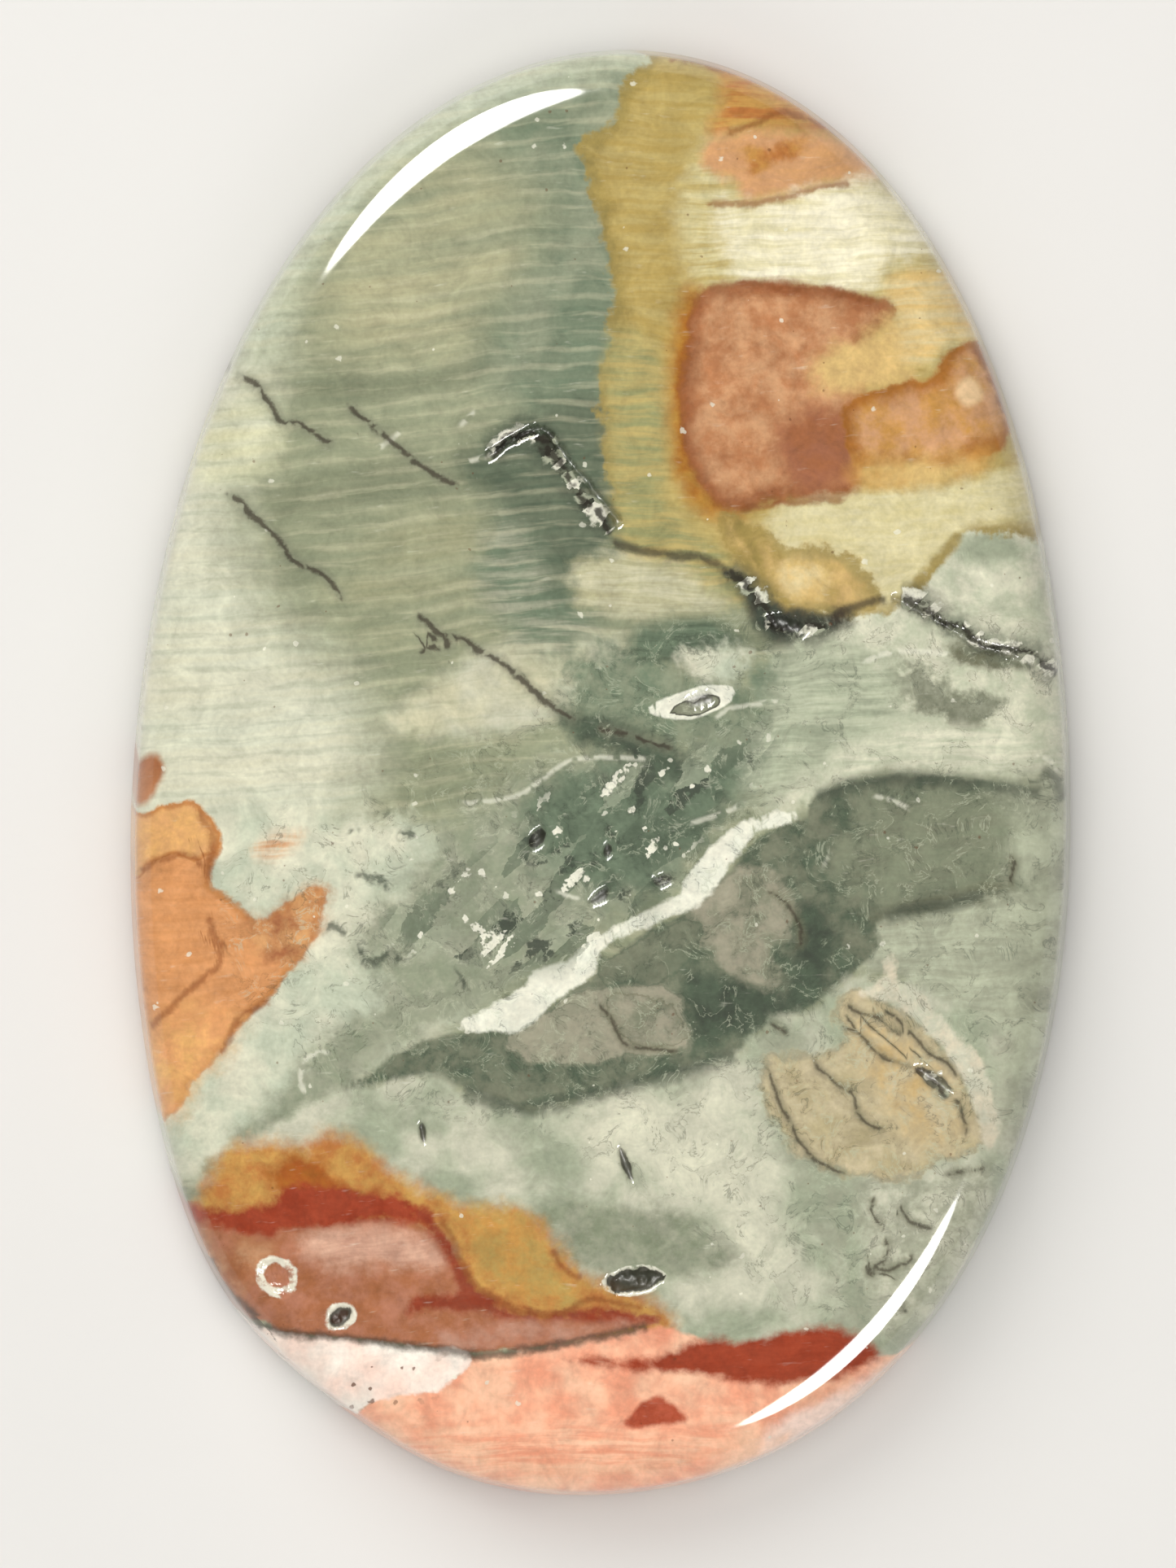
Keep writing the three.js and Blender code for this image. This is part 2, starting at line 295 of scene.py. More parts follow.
# The other patches, in the order that they cover each other
ZONES = (
    Zone("pale_right", "mist", "fog", "mottle", soft=0.9, wobble=1.3, outline=[
        (13.0, 13.0), (15.9, 13.4), (21.1, 13.7), (21.5, 0.5), (17.9, 0.3), (14.3, 0.4), (11.7, 0.5),
        (9.8, 0.1), (7.7, -1.4), (6.6, -1.2), (6.8, 1.8), (7.3, 3.8), (6.9, 8.5), (9.5, 9.5),
    ]),
    Zone("teal_spot_a", "moss_grey", "mist", "clouds", soft=0.4, wobble=0.4, outline=[
        (14.0, 9.8), (15.2, 10.2), (16.2, 9.7), (16.1, 9.1), (14.6, 8.9), (13.7, 9.0),
    ]),
    Zone("low_pale", "pale_teal", "fog", "clouds", soft=0.7, wobble=0.8, outline=[
        (-17.0, -16.7), (-19.2, -15.0), (-18.5, -3.3), (-14.9, -3.2), (-15.4, -2.6), (-13.3, -1.8),
        (-10.4, -2.1), (-7.1, -2.3), (-5.6, -3.8), (-6.2, -5.8), (-5.6, -7.7), (-4.3, -8.7), (-5.5, -10.3),
        (-7.4, -11.4), (-9.3, -12.8), (-11.2, -14.5), (-13.8, -15.9), (-15.7, -16.9),
    ]),
    Zone("teal_streak", "grey_sage", "teal_grey", "mottle", soft=0.6, wobble=0.9, outline=[
        (-14.1, -14.9), (-12.7, -13.6), (-11.5, -11.9), (-10.1, -10.5), (-7.5, -9.1), (-4.6, -7.7),
        (-2.8, -8.1), (-5.2, -9.7), (-7.8, -11.4), (-9.5, -13.1), (-11.4, -14.8), (-13.1, -15.5),
    ]),
    Zone("teal_eye", "teal_grey", "teal", "mottle", soft=0.9, wobble=1.6, outline=[
        (-1.5, 4.2), (0.9, 5.0), (3.4, 4.4), (5.5, 3.5), (7.9, 3.4), (9.9, 4.7), (10.8, 3.7), (9.2, 2.4),
        (7.6, 1.3), (6.0, 0.7), (3.5, 1.0), (0.6, 1.5), (-1.4, 1.8),
    ]),
    Zone("druse_base", "teal_grey", "grey_sage", "mottle", soft=1.1, wobble=1.5, outline=[
        (-5.8, -2.2), (-3.9, -0.7), (-2.0, 0.3), (0.6, 0.8), (2.6, 0.7), (4.5, 1.6), (7.1, 2.2),
        (8.7, 1.5), (7.2, -0.1), (5.4, -1.4), (4.3, -2.8), (2.1, -4.5), (0.2, -6.2), (-1.4, -7.3),
        (-3.6, -8.6), (-5.5, -9.4), (-7.5, -10.1), (-8.8, -8.5), (-9.5, -6.9), (-8.5, -5.6), (-7.1, -3.9),
    ]),
    Zone("druse_dark", "teal", "deep_teal", "mottle", soft=0.9, wobble=1.3, outline=[
        (-3.2, -1.8), (-2.0, -0.4), (-0.0, 0.3), (1.9, 0.1), (3.9, 0.8), (6.1, 1.5), (7.1, 1.2),
        (5.9, -0.4), (4.6, -1.8), (3.7, -3.1), (2.1, -4.5), (0.2, -4.9), (-1.2, -4.3), (-2.5, -3.7),
    ]),
    Zone("dark_below_eye", "deep_teal", "slate", "mottle", soft=0.5, wobble=0.7, outline=[
        (-1.7, 2.3), (-0.1, 2.2), (1.9, 1.6), (3.5, 0.4), (2.6, -0.3), (0.6, 0.7), (-1.1, 1.3),
    ]),
    Zone("pale_flow", "beige", "straw_cream", "streaks", soft=0.5, wobble=0.7, outline=[
        (-1.5, 8.1), (0.3, 8.8), (2.9, 8.9), (4.6, 8.2), (4.7, 6.8), (2.4, 6.3), (-0.9, 6.5),
    ]),
    Zone("dark_flow", "deep_teal", "teal", "streaks", soft=0.45, wobble=0.6, outline=[
        (0.4, 4.7), (1.7, 5.9), (4.0, 6.2), (5.4, 5.4), (4.4, 4.6), (2.4, 4.4),
    ]),
    Zone("mist_flow", "fog", "pale_teal", "clouds", soft=0.4, wobble=0.9, outline=[
        (2.6, 4.4), (3.6, 5.1), (5.0, 5.3), (5.6, 4.7), (5.1, 3.9), (3.9, 3.8),
    ]),
    Zone("green_patch", "teal", "teal_grey", "mottle", soft=0.35, wobble=0.9, outline=[
        (5.7, 4.3), (6.6, 4.7), (7.6, 4.6), (7.9, 3.8), (7.4, 3.1), (6.1, 3.2),
    ]),
    Zone("ochre", "ochre", "wheat", "streaks", soft=0.35, wobble=0.8, rim=("olive", 0.8, 0.85), outline=[
        (1.7, 30.1), (0.8, 28.3), (-0.2, 27.1), (-0.6, 25.7), (-1.9, 24.8), (-1.5, 23.9), (-1.0, 22.5),
        (-0.6, 21.2), (-0.4, 19.7), (-0.1, 17.9), (-0.3, 16.0), (-0.7, 14.6), (-0.2, 13.7), (-0.3, 12.4),
        (0.1, 11.1), (0.5, 10.1), (1.2, 9.2), (2.9, 8.8), (4.5, 8.5), (5.9, 7.2), (7.4, 6.5), (10.2, 6.8),
        (11.8, 7.5), (13.0, 9.0), (14.3, 10.3), (21.1, 10.9), (20.7, 22.0), (12.2, 29.5),
    ]),
    Zone("ochre_pale", "pale_straw", "wheat", "streaks", soft=0.7, wobble=0.7, outline=[
        (2.7, 24.6), (3.4, 25.4), (4.4, 23.7), (5.5, 22.7), (9.7, 21.8), (12.9, 21.6), (14.3, 18.8),
        (14.3, 16.9), (11.7, 17.1), (10.3, 19.0), (6.4, 19.3), (3.4, 19.3), (2.3, 21.0), (2.2, 22.8),
    ]),
    Zone("ochre_green", "moss", "wheat", "streaks", soft=0.6, wobble=0.6, outline=[
        (-0.4, 17.0), (1.0, 17.3), (2.0, 15.4), (2.1, 12.8), (2.2, 10.8), (4.2, 9.2), (6.2, 7.1),
        (4.9, 6.9), (2.9, 8.2), (0.4, 9.0), (-0.2, 12.7),
    ]),
    Zone("orange_top", "mustard", "rust", "streaks", soft=0.5, wobble=0.6, outline=[
        (3.4, 28.8), (3.6, 27.7), (3.6, 26.5), (3.3, 25.5), (4.6, 25.8), (6.4, 25.9), (7.8, 25.8),
        (9.1, 25.5), (10.0, 26.2), (8.5, 28.3), (6.2, 29.6),
    ]),
    Zone("pink_top", "peach_tan", "clay", "ripple", soft=0.35, wobble=0.5, outline=[
        (3.1, 25.1), (3.7, 25.5), (5.1, 25.7), (6.7, 25.7), (8.6, 25.6), (9.7, 25.1), (10.1, 24.2),
        (8.8, 23.8), (7.4, 23.6), (6.1, 23.2), (5.0, 22.9), (4.6, 23.1), (4.4, 23.6), (3.4, 23.9),
        (3.0, 24.4),
    ]),
    Zone("rust_core", "rust", "amber", "mottle", soft=0.3, wobble=0.6, outline=[
        (4.6, 24.5), (4.9, 25.0), (5.7, 25.2), (6.9, 25.4), (7.2, 25.0), (6.6, 24.7), (5.7, 24.4),
        (5.1, 24.1),
    ]),
    Zone("cream_band", "ivory", "cream", "streaks", soft=0.6, wobble=0.8, outline=[
        (3.6, 22.2), (4.1, 22.7), (4.8, 22.7), (6.1, 22.9), (7.7, 23.5), (9.5, 23.9), (11.1, 23.6),
        (13.4, 21.9), (11.6, 21.2), (10.4, 20.6), (9.9, 19.6), (7.7, 19.6), (5.6, 19.5), (4.6, 19.7),
        (4.1, 20.6), (3.8, 21.5),
    ]),
    Zone("cream_right", "cream_tan", "honey", "streaks", soft=0.4, wobble=0.4, outline=[
        (10.5, 19.9), (12.2, 20.5), (15.2, 20.1), (16.3, 17.9), (14.8, 17.7), (13.3, 17.6), (12.2, 16.9),
        (11.2, 16.7), (10.7, 17.4), (10.9, 18.4),
    ]),
    Zone("square_glow", "ochre_deep", "amber_brown", "mottle", soft=0.5, wobble=0.4, outline=[
        (2.2, 18.6), (3.0, 19.3), (3.4, 17.6), (3.3, 12.3), (5.2, 10.4), (4.4, 10.1), (2.9, 11.0),
        (2.2, 12.8), (2.0, 15.8),
    ]),
    Zone("rust_square", "terracotta", "peach_tan", "mottle", soft=0.2, wobble=0.4,
         rim=("rust_dark", 0.9, 0.75), outline=[
        (3.0, 19.0), (4.4, 19.5), (6.4, 19.7), (7.7, 19.5), (9.3, 19.3), (10.7, 18.9), (10.5, 18.3),
        (9.8, 17.5), (9.7, 16.3), (9.9, 15.1), (9.9, 13.7), (9.6, 12.6), (9.5, 11.5), (8.0, 11.3),
        (6.4, 11.1), (4.8, 10.7), (3.6, 11.4), (2.9, 12.8), (2.6, 14.8), (2.8, 17.1),
    ]),
    Zone("yellow_gap", "tan", "honey", "mottle", soft=0.6, wobble=0.8, outline=[
        (8.1, 16.9), (9.4, 17.6), (11.0, 18.4), (11.2, 16.7), (11.8, 16.1), (9.8, 15.4), (8.2, 15.5),
        (7.7, 16.3),
    ]),
    Zone("rose_patch", "dusty_rose", "rust_brown", "mottle", soft=0.6, wobble=0.8, outline=[
        (6.8, 14.3), (8.2, 14.8), (9.5, 14.4), (9.7, 13.1), (9.0, 11.8), (7.5, 11.5), (6.7, 12.2),
        (6.3, 13.3),
    ]),
    Zone("tail", "peach_tan", "amber", "mottle", soft=0.25, wobble=0.45,
         rim=("amber_brown", 0.7, 0.9), outline=[
        (9.2, 15.0), (11.1, 15.7), (12.6, 16.1), (13.0, 17.1), (13.8, 17.6), (14.6, 17.3), (15.3, 16.2),
        (15.7, 14.9), (15.5, 13.8), (14.3, 13.3), (12.9, 12.6), (11.6, 12.8), (9.9, 12.6), (9.2, 13.7),
    ]),
    Zone("pink_spot", "pale_peach", "pale_peach", "clouds", soft=0.2, wobble=0.1, outline=[
        (13.5, 15.9), (14.0, 16.3), (14.4, 15.9), (14.5, 15.4), (13.9, 15.1), (13.5, 15.4),
    ]),
    Zone("amber_low", "honey", "amber", "clouds", soft=0.7, wobble=0.6, outline=[
        (9.6, 12.6), (11.5, 12.9), (13.3, 12.9), (14.8, 13.4), (14.2, 12.3), (12.2, 11.7), (10.0, 11.6),
    ]),
    Zone("cream_lobe", "butter", "cream", "ripple", soft=0.35, wobble=0.5, outline=[
        (6.1, 10.2), (7.2, 10.9), (9.5, 11.4), (12.2, 11.7), (14.5, 12.3), (16.4, 12.9), (21.0, 13.5),
        (21.1, 10.7), (15.9, 10.5), (14.3, 10.4), (13.0, 9.0), (11.6, 7.4), (10.0, 6.8), (8.2, 6.6),
        (7.4, 7.4), (6.7, 8.8),
    ]),
    Zone("amber_tip", "tan", "ochre", "mottle", soft=0.5, wobble=0.8, rim=("olive", 0.6, 0.7), outline=[
        (5.6, 9.8), (7.0, 9.1), (8.4, 9.1), (9.8, 8.5), (10.6, 7.3), (9.2, 6.7), (7.7, 6.6), (6.4, 7.4),
        (5.0, 8.7), (4.3, 9.8), (4.6, 10.3),
    ]),
    Zone("amber_eye", "cream_tan", "honey", "mottle", soft=0.45, wobble=0.5, outline=[
        (6.5, 8.2), (7.3, 8.7), (8.3, 8.5), (8.6, 7.7), (8.2, 7.0), (7.2, 7.3),
    ]),
    Zone("crack_corner", "umber", "slate", "mottle", soft=0.35, wobble=0.6, outline=[
        (5.0, 8.1), (6.3, 7.2), (7.4, 6.7), (9.6, 6.8), (9.4, 6.1), (8.2, 5.4), (6.6, 5.3), (5.7, 6.2),
        (5.3, 7.2),
    ]),
    Zone("grey_spot", "pewter", "grey_sage", "mottle", soft=0.35, wobble=1.4, outline=[
        (10.7, 4.1), (12.8, 4.7), (14.0, 4.0), (15.1, 3.9), (15.4, 3.0), (14.5, 2.1), (13.6, 2.5),
        (12.8, 3.0), (11.6, 3.3),
    ]),
    Zone("crack_shade", "olive_grey", "pewter", "mottle", soft=0.25, wobble=0.6, outline=[
        (13.4, 5.4), (14.6, 5.6), (15.8, 5.3), (16.8, 4.9), (16.0, 4.7), (14.8, 4.8), (13.8, 5.0),
    ]),
    Zone("teal_right", "moss_grey", "mist", "streaks", soft=0.8, wobble=1.0, outline=[
        (7.0, 5.2), (9.6, 5.4), (11.4, 4.2), (11.2, 1.8), (9.0, 0.8), (7.0, -0.4), (5.6, -0.6), (6.4, 2.6),
    ]),
    Zone("pale_shelf", "fog", "mist", "streaks", soft=0.4, wobble=0.4, outline=[
        (9.1, 1.1), (11.0, 1.9), (13.6, 2.3), (16.2, 2.1), (18.2, 1.3), (18.2, 0.7), (14.3, 0.7),
        (11.4, 0.7), (9.4, 0.3),
    ]),
    Zone("wedge", "grey_sage", "mist", "ripple", soft=0.4, wobble=0.8, outline=[
        (10.6, -6.1), (11.5, -4.8), (13.0, -4.4), (14.5, -4.1), (16.1, -3.7), (18.6, -3.6), (20.4, -3.8),
        (20.7, -10.7), (17.0, -11.8), (16.0, -11.0), (15.2, -10.0), (14.1, -9.4), (13.0, -8.5),
        (12.1, -7.9), (11.3, -7.6), (10.3, -7.7),
    ]),
    Zone("dark_body", "pewter", "deep_teal", "mottle", soft=0.13, wobble=0.35, outline=[
        (-9.9, -13.0), (-8.2, -11.8), (-6.6, -10.9), (-4.9, -10.4), (-2.9, -10.1), (-0.8, -8.6),
        (0.2, -7.9), (0.7, -7.2), (2.3, -6.0), (3.5, -5.3), (4.3, -4.3), (5.3, -3.5), (6.2, -2.4),
        (7.1, -1.8), (8.0, -1.5), (8.3, -0.8), (9.5, -0.1), (11.3, 0.3), (13.8, 0.3), (16.3, 0.2),
        (18.1, -0.2), (20.3, -0.6), (21.1, -4.4), (18.6, -4.3), (17.0, -4.1), (16.1, -4.1), (14.6, -4.6),
        (13.0, -5.0), (11.5, -5.3), (11.0, -5.8), (11.2, -6.4), (10.7, -7.1), *reversed(BODY_EDGE),
        (-9.3, -13.0),
    ]),
    Zone("body_right", "lichen", "pewter", "ripple", soft=0.9, wobble=1.4, outline=[
        (11.0, -0.7), (13.2, -0.2), (16.0, -0.2), (18.5, -0.6), (20.7, -1.2), (20.8, -4.1), (17.0, -3.9),
        (14.6, -4.4), (12.1, -4.7), (10.3, -4.4), (9.5, -3.3), (10.1, -1.9),
    ]),
    Zone("body_foot", "olive_grey", "pewter", "streaks", soft=0.45, wobble=0.5, outline=[
        (10.8, -5.3), (12.1, -4.8), (13.6, -4.3), (15.5, -3.9), (16.4, -4.0), (14.6, -4.7), (12.7, -5.2),
        (11.5, -5.4),
    ]),
    Zone("body_deep", "deep_teal", "slate", "mottle", soft=0.5, wobble=0.9, outline=[
        (3.3, -8.0), (4.1, -7.6), (5.0, -7.7), (6.1, -8.1), (7.0, -8.5), (7.2, -9.3), (6.1, -10.1),
        (4.9, -10.7), (3.9, -10.9), (3.8, -9.8),
    ]),
    Zone("slate", "slate", "deep_teal", "mottle", soft=0.5, wobble=0.9, outline=[
        (7.8, -5.1), (8.7, -5.1), (9.4, -6.0), (9.4, -7.1), (9.2, -8.0), (8.5, -8.8), (7.3, -9.5),
        (6.3, -9.7), (6.6, -8.8), (7.5, -8.1), (7.8, -6.9),
    ]),
    Zone("taupe_low", "warm_grey", "taupe", "mottle", soft=0.14, wobble=0.5,
         rim=("slate_green", 0.14, 0.6), outline=[
        (-3.4, -10.9), (-2.4, -10.0), (-1.3, -9.0), (0.4, -8.5), (2.3, -8.3), (3.1, -8.6), (3.7, -9.6),
        (3.9, -10.6), (3.3, -11.0), (1.8, -11.2), (0.2, -11.5), (-1.3, -11.6), (-2.6, -11.5),
    ]),
    Zone("taupe_light", "warm_grey", "pewter", "mottle", soft=0.25, wobble=0.5,
         rim=("olive_grey", 0.12, 0.5), outline=[
        (0.5, -9.0), (2.3, -8.8), (3.4, -9.6), (3.7, -10.5), (2.4, -10.8), (1.0, -10.4),
    ]),
    Zone("taupe_high", "warm_grey", "pewter", "mottle", soft=0.25, wobble=0.7, outline=[
        (5.3, -3.6), (6.4, -3.5), (7.3, -4.1), (7.8, -5.1), (7.6, -6.2), (7.1, -6.9), (7.3, -8.0),
        (6.6, -8.2), (5.5, -7.9), (4.6, -7.0), (3.8, -6.4), (3.5, -5.6), (4.2, -4.8), (4.7, -4.1),
    ]),
    Zone("taupe_mid", "pewter", "slate_green", "mottle", soft=0.25, wobble=0.5,
         rim=("deep_teal", 0.14, 0.5), outline=[
        (0.1, -7.5), (0.7, -7.2), (2.3, -6.2), (3.4, -5.6), (4.1, -6.1), (3.8, -7.1), (3.3, -7.9),
        (2.3, -8.3), (1.3, -8.3), (0.4, -8.4),
    ]),
    Zone("white_vein", "fleck", "stone_white", "mottle", soft=0.1, wobble=0.35, outline=[
        (-5.6, -10.4), (-4.2, -9.5), (-2.8, -8.6), (-2.5, -8.1), (-1.1, -7.4), (0.1, -6.5), (1.2, -5.9),
        (2.1, -5.3), (3.2, -4.7), (3.6, -3.8), (4.4, -2.8), (5.3, -1.9), (6.6, -1.4), (7.9, -1.3),
        (7.8, -1.5), (7.1, -1.9), (6.1, -2.1), (5.5, -3.1), (4.7, -4.3), (3.8, -5.2), (2.2, -6.0),
        (1.0, -6.5), (0.1, -7.1), (0.0, -7.9), (-1.0, -8.7), (-2.0, -9.6), (-2.9, -10.3), (-4.2, -10.4),
    ]),
    Zone("field_low", "oat", "moss_grey", "clouds", soft=0.3, wobble=0.6, outline=[
        (-15.4, -16.6), (-12.8, -14.7), (-10.6, -13.3), *BODY_EDGE, (12.7, -7.9), (16.0, -9.3),
        (21.9, -9.8), (22.3, -20.4), (12.7, -24.7), (9.4, -23.5), (6.1, -24.3), (2.8, -23.7),
        (-3.8, -20.1), (-10.5, -17.1),
    ]),
    Zone("cloud_a", "lichen", "grey_sage", "mottle", soft=0.6, wobble=1.0, outline=[
        (-2.6, -18.1), (-0.7, -17.0), (1.9, -17.2), (4.2, -17.5), (5.9, -18.1), (5.6, -19.4), (3.3, -19.8),
        (0.7, -19.9), (-1.6, -19.5),
    ]),
    Zone("cloud_b", "grey_sage", "moss_grey", "mottle", soft=0.7, wobble=1.0, outline=[
        (6.9, -9.9), (8.4, -10.5), (9.3, -12.4), (10.3, -14.3), (11.8, -15.9), (12.4, -18.1),
        (12.0, -20.8), (11.3, -22.4), (10.2, -20.8), (9.8, -18.6), (8.6, -16.3), (7.4, -14.4),
        (6.8, -12.2),
    ]),
    Zone("glow_a", "fog", "oat", "clouds", soft=0.9, wobble=0.8, outline=[
        (-0.8, -13.8), (3.1, -12.8), (5.7, -12.9), (6.7, -14.4), (7.8, -16.7), (7.6, -19.0), (5.9, -18.4),
        (4.5, -16.5), (1.9, -15.6), (-0.1, -15.0),
    ]),
    Zone("lens_fade", "grey_sage", "mist", "clouds", soft=1.2, wobble=0.8, outline=[
        (16.1, 0.3), (18.2, 0.4), (21.5, -0.2), (22.1, -14.5), (16.9, -14.7), (16.2, -9.2), (16.9, -6.9),
        (17.2, -4.3), (16.3, -3.0), (16.7, -1.3),
    ]),
    Zone("grey_block", "grey_sage", "oat", "mottle", soft=0.6, wobble=0.6, outline=[
        (11.0, -15.6), (13.0, -15.2), (15.9, -15.1), (15.7, -17.4), (14.1, -19.4), (12.6, -22.1),
        (11.5, -20.8), (11.1, -18.2),
    ]),
    Zone("tan_patch", "pale_sand", "sand", "mottle", soft=0.22, wobble=0.7,
         rim=("olive_grey", 0.25, 0.3), outline=[
        (6.8, -11.4), (7.2, -10.9), (8.6, -10.9), (9.8, -10.6), (10.1, -10.0), (9.6, -9.5), (9.8, -8.7),
        (10.4, -8.3), (11.3, -8.6), (12.1, -8.8), (13.0, -9.5), (13.9, -10.3), (14.6, -11.0),
        (15.0, -11.9), (15.4, -12.8), (15.7, -13.7), (15.2, -14.6), (14.1, -14.8), (13.2, -15.4),
        (12.0, -15.7), (10.4, -15.5), (8.9, -15.2), (7.9, -14.3), (7.1, -13.1),
    ]),
    Zone("tan_heart", "warm_sand", "pale_sand", "mottle", soft=0.9, wobble=1.3, outline=[
        (10.4, -9.5), (11.7, -9.8), (12.9, -10.8), (13.9, -12.2), (14.6, -13.4), (14.0, -14.2),
        (12.4, -13.5), (11.4, -12.3), (10.8, -11.1),
    ]),
    Zone("pink_tan", "blush_sand", "oat", "mottle", soft=0.14, wobble=0.5, outline=[
        (10.6, -8.2), (11.3, -7.7), (11.6, -6.9), (11.8, -6.8), (12.1, -7.9), (13.1, -8.5), (13.9, -9.4),
        (14.8, -10.2), (15.6, -11.0), (16.0, -12.2), (16.3, -13.7), (15.8, -14.2), (15.1, -12.4),
        (14.3, -11.0), (13.3, -9.8), (12.0, -8.8), (10.9, -8.5),
    ]),
    Zone("left_orange", "apricot", "clay_dark", "ripple", soft=0.12, wobble=0.35,
         rim=("amber_brown", 0.4, 0.55), outline=[
        *LEFT_TOP, (-15.1, -3.5), (-15.5, -4.6), (-15.4, -5.1), (-14.5, -5.6), (-13.6, -6.4), *FINGER_TIP,
        (-11.9, -8.1), (-12.7, -9.2), (-13.7, -10.2), *LEFT_FOOT,
    ]),
    Zone("left_tan", "clay", "gold", "mottle", soft=0.2, wobble=0.35, rim=("rust", 0.2, 0.7), outline=[
        *LEFT_TOP, (-15.2, -3.5), (-15.9, -4.1), (-16.9, -3.9), (-17.8, -4.3), (-18.6, -5.0),
        (-20.7, -5.4),
    ]),
    Zone("left_gold", "gold", "apricot", "mottle", soft=0.9, wobble=0.9, outline=[
        (-20.5, -10.9), (-17.7, -10.9), (-16.0, -10.1), (-14.3, -10.4), *LEFT_FOOT,
    ]),
    Zone("finger", "rust_brown", "clay", "mottle", soft=0.5, wobble=0.7, outline=[
        (-14.0, -6.6), *FINGER_TIP, (-12.1, -8.1), (-13.1, -7.9),
    ]),
    Zone("left_blob", "rust_brown", "terracotta", "clouds", soft=0.2, wobble=0.2, outline=[
        (-18.7, -1.9), (-18.8, -0.7), (-18.4, -0.1), (-17.7, -0.0), (-17.4, -0.5), (-17.7, -1.2),
        (-18.1, -1.9),
    ]),
    Zone("blush", "blush_sand", "peach_tan", "streaks", soft=0.4, wobble=0.3, outline=[
        (-13.9, -3.7), (-13.0, -3.0), (-11.8, -2.8), (-12.1, -3.4), (-13.1, -4.0),
    ]),
    Zone("ochre_rim", "mustard", "rust", "mottle", soft=0.5, wobble=0.6, outline=[
        (-15.5, -18.6), (-15.2, -16.9), (-14.3, -15.6), (-12.8, -15.1), (-11.2, -15.2), (-10.6, -14.7),
        (-9.2, -14.9), (-8.2, -15.7), (-7.1, -16.4), (-5.7, -17.0), (-3.9, -17.4), (-2.6, -17.4),
        (-1.4, -18.3), (-0.4, -19.6), (0.7, -20.1), (2.4, -20.6), (3.1, -21.1), (3.7, -21.9), (2.5, -22.8),
        (-0.5, -22.6), (-3.1, -22.0), (-5.1, -20.8), (-5.8, -18.8), (-10.4, -18.4),
    ]),
    Zone("rust_low", "red_brown", "amber_brown", "mottle", soft=0.35, wobble=0.6, outline=[
        (-12.4, -17.1), (-12.7, -16.4), (-12.1, -15.9), (-11.1, -15.7), (-10.3, -15.8), (-10.1, -16.4),
        (-9.5, -16.9), (-8.3, -17.1), (-9.9, -17.4), (-11.6, -17.3),
    ]),
    Zone("amber_lens", "ochre", "amber", "mottle", soft=0.45, wobble=0.9, outline=[
        (-4.7, -17.7), (-3.6, -17.5), (-2.7, -17.7), (-1.7, -18.6), (-1.1, -19.6), (-0.4, -20.2),
        (0.0, -20.7), (-0.7, -21.1), (-1.9, -21.0), (-3.1, -20.7), (-3.9, -19.9), (-4.5, -19.0),
    ]),
    Zone("mauve", "mauve", "rust_brown", "mottle", soft=0.1, wobble=0.25, outline=[
        (-16.9, -18.2), (-15.6, -18.2), (-14.1, -18.4), (-12.0, -18.3), (-9.9, -18.1), (-8.3, -18.0),
        (-7.1, -17.9), (-6.2, -18.4), (-5.4, -19.2), (-4.8, -20.4), (-3.9, -21.2), (-2.8, -21.6),
        (-1.2, -21.7), (0.7, -21.5), (2.8, -21.5), (2.9, -21.8), (1.2, -22.2), (-1.1, -22.8),
        (-2.5, -23.0), (-4.3, -23.2), *reversed(MAUVE_FOOT), (-12.8, -22.3), (-16.0, -22.8),
        (-18.0, -20.6),
    ]),
    Zone("mauve_light", "mauve_pale", "mauve_grey", "ripple", soft=0.5, wobble=0.6, outline=[
        (-11.2, -19.0), (-10.4, -18.5), (-8.7, -18.4), (-7.1, -18.5), (-6.2, -18.8), (-5.6, -19.6),
        (-6.6, -19.9), (-8.2, -19.8), (-9.8, -20.0), (-10.8, -19.7),
    ]),
    Zone("mauve_tan", "rust_brown", "rose_tan", "mottle", soft=0.5, wobble=0.6, outline=[
        (-15.4, -18.8), (-14.5, -19.5), (-13.4, -19.2), (-12.5, -19.5), (-13.1, -20.6), (-13.8, -21.3),
        (-14.7, -20.9),
    ]),
    Zone("red_band", "maroon", "brick", "mottle", soft=0.22, wobble=0.5, outline=[
        (-16.9, -17.8), (-15.6, -17.8), (-14.1, -18.0), (-12.6, -17.6), (-12.1, -17.0), (-9.7, -16.9),
        (-8.1, -17.1), (-6.9, -17.3), (-6.1, -18.0), (-6.8, -18.2), (-8.3, -18.1), (-9.9, -18.4),
        (-12.0, -18.6), (-12.6, -18.9), (-14.1, -18.7), (-15.7, -18.6), (-16.9, -18.9),
    ]),
    Zone("red_mid", "mauve_dark", "maroon", "ripple", soft=0.22, wobble=0.5, outline=[
        (-6.7, -17.7), (-6.0, -18.1), (-5.2, -18.9), (-4.8, -19.8), (-4.1, -20.6), (-2.9, -21.3),
        (-1.2, -21.5), (0.5, -21.3), (2.3, -21.4), (2.8, -21.7), (1.2, -21.9), (-1.1, -21.8),
        (-3.0, -21.8), (-4.4, -21.6), (-5.8, -21.5), (-7.0, -21.7), (-6.5, -21.1), (-5.1, -20.9),
        (-5.2, -20.1), (-5.6, -19.2), (-6.4, -18.3),
    ]),
    Zone("pink_grey", "mauve_grey", "mauve", "mottle", soft=0.3, wobble=0.4, outline=[
        (-5.8, -22.5), (-4.4, -22.3), (-3.0, -22.0), (-1.1, -21.9), (0.5, -21.9), (1.9, -21.8),
        (0.7, -22.2), (-1.1, -22.7), (-3.0, -23.0), (-4.4, -23.1), (-5.5, -23.0),
    ]),
    Zone("salmon", "salmon", "salmon_pale", "clouds", soft=0.12, wobble=0.3, outline=[
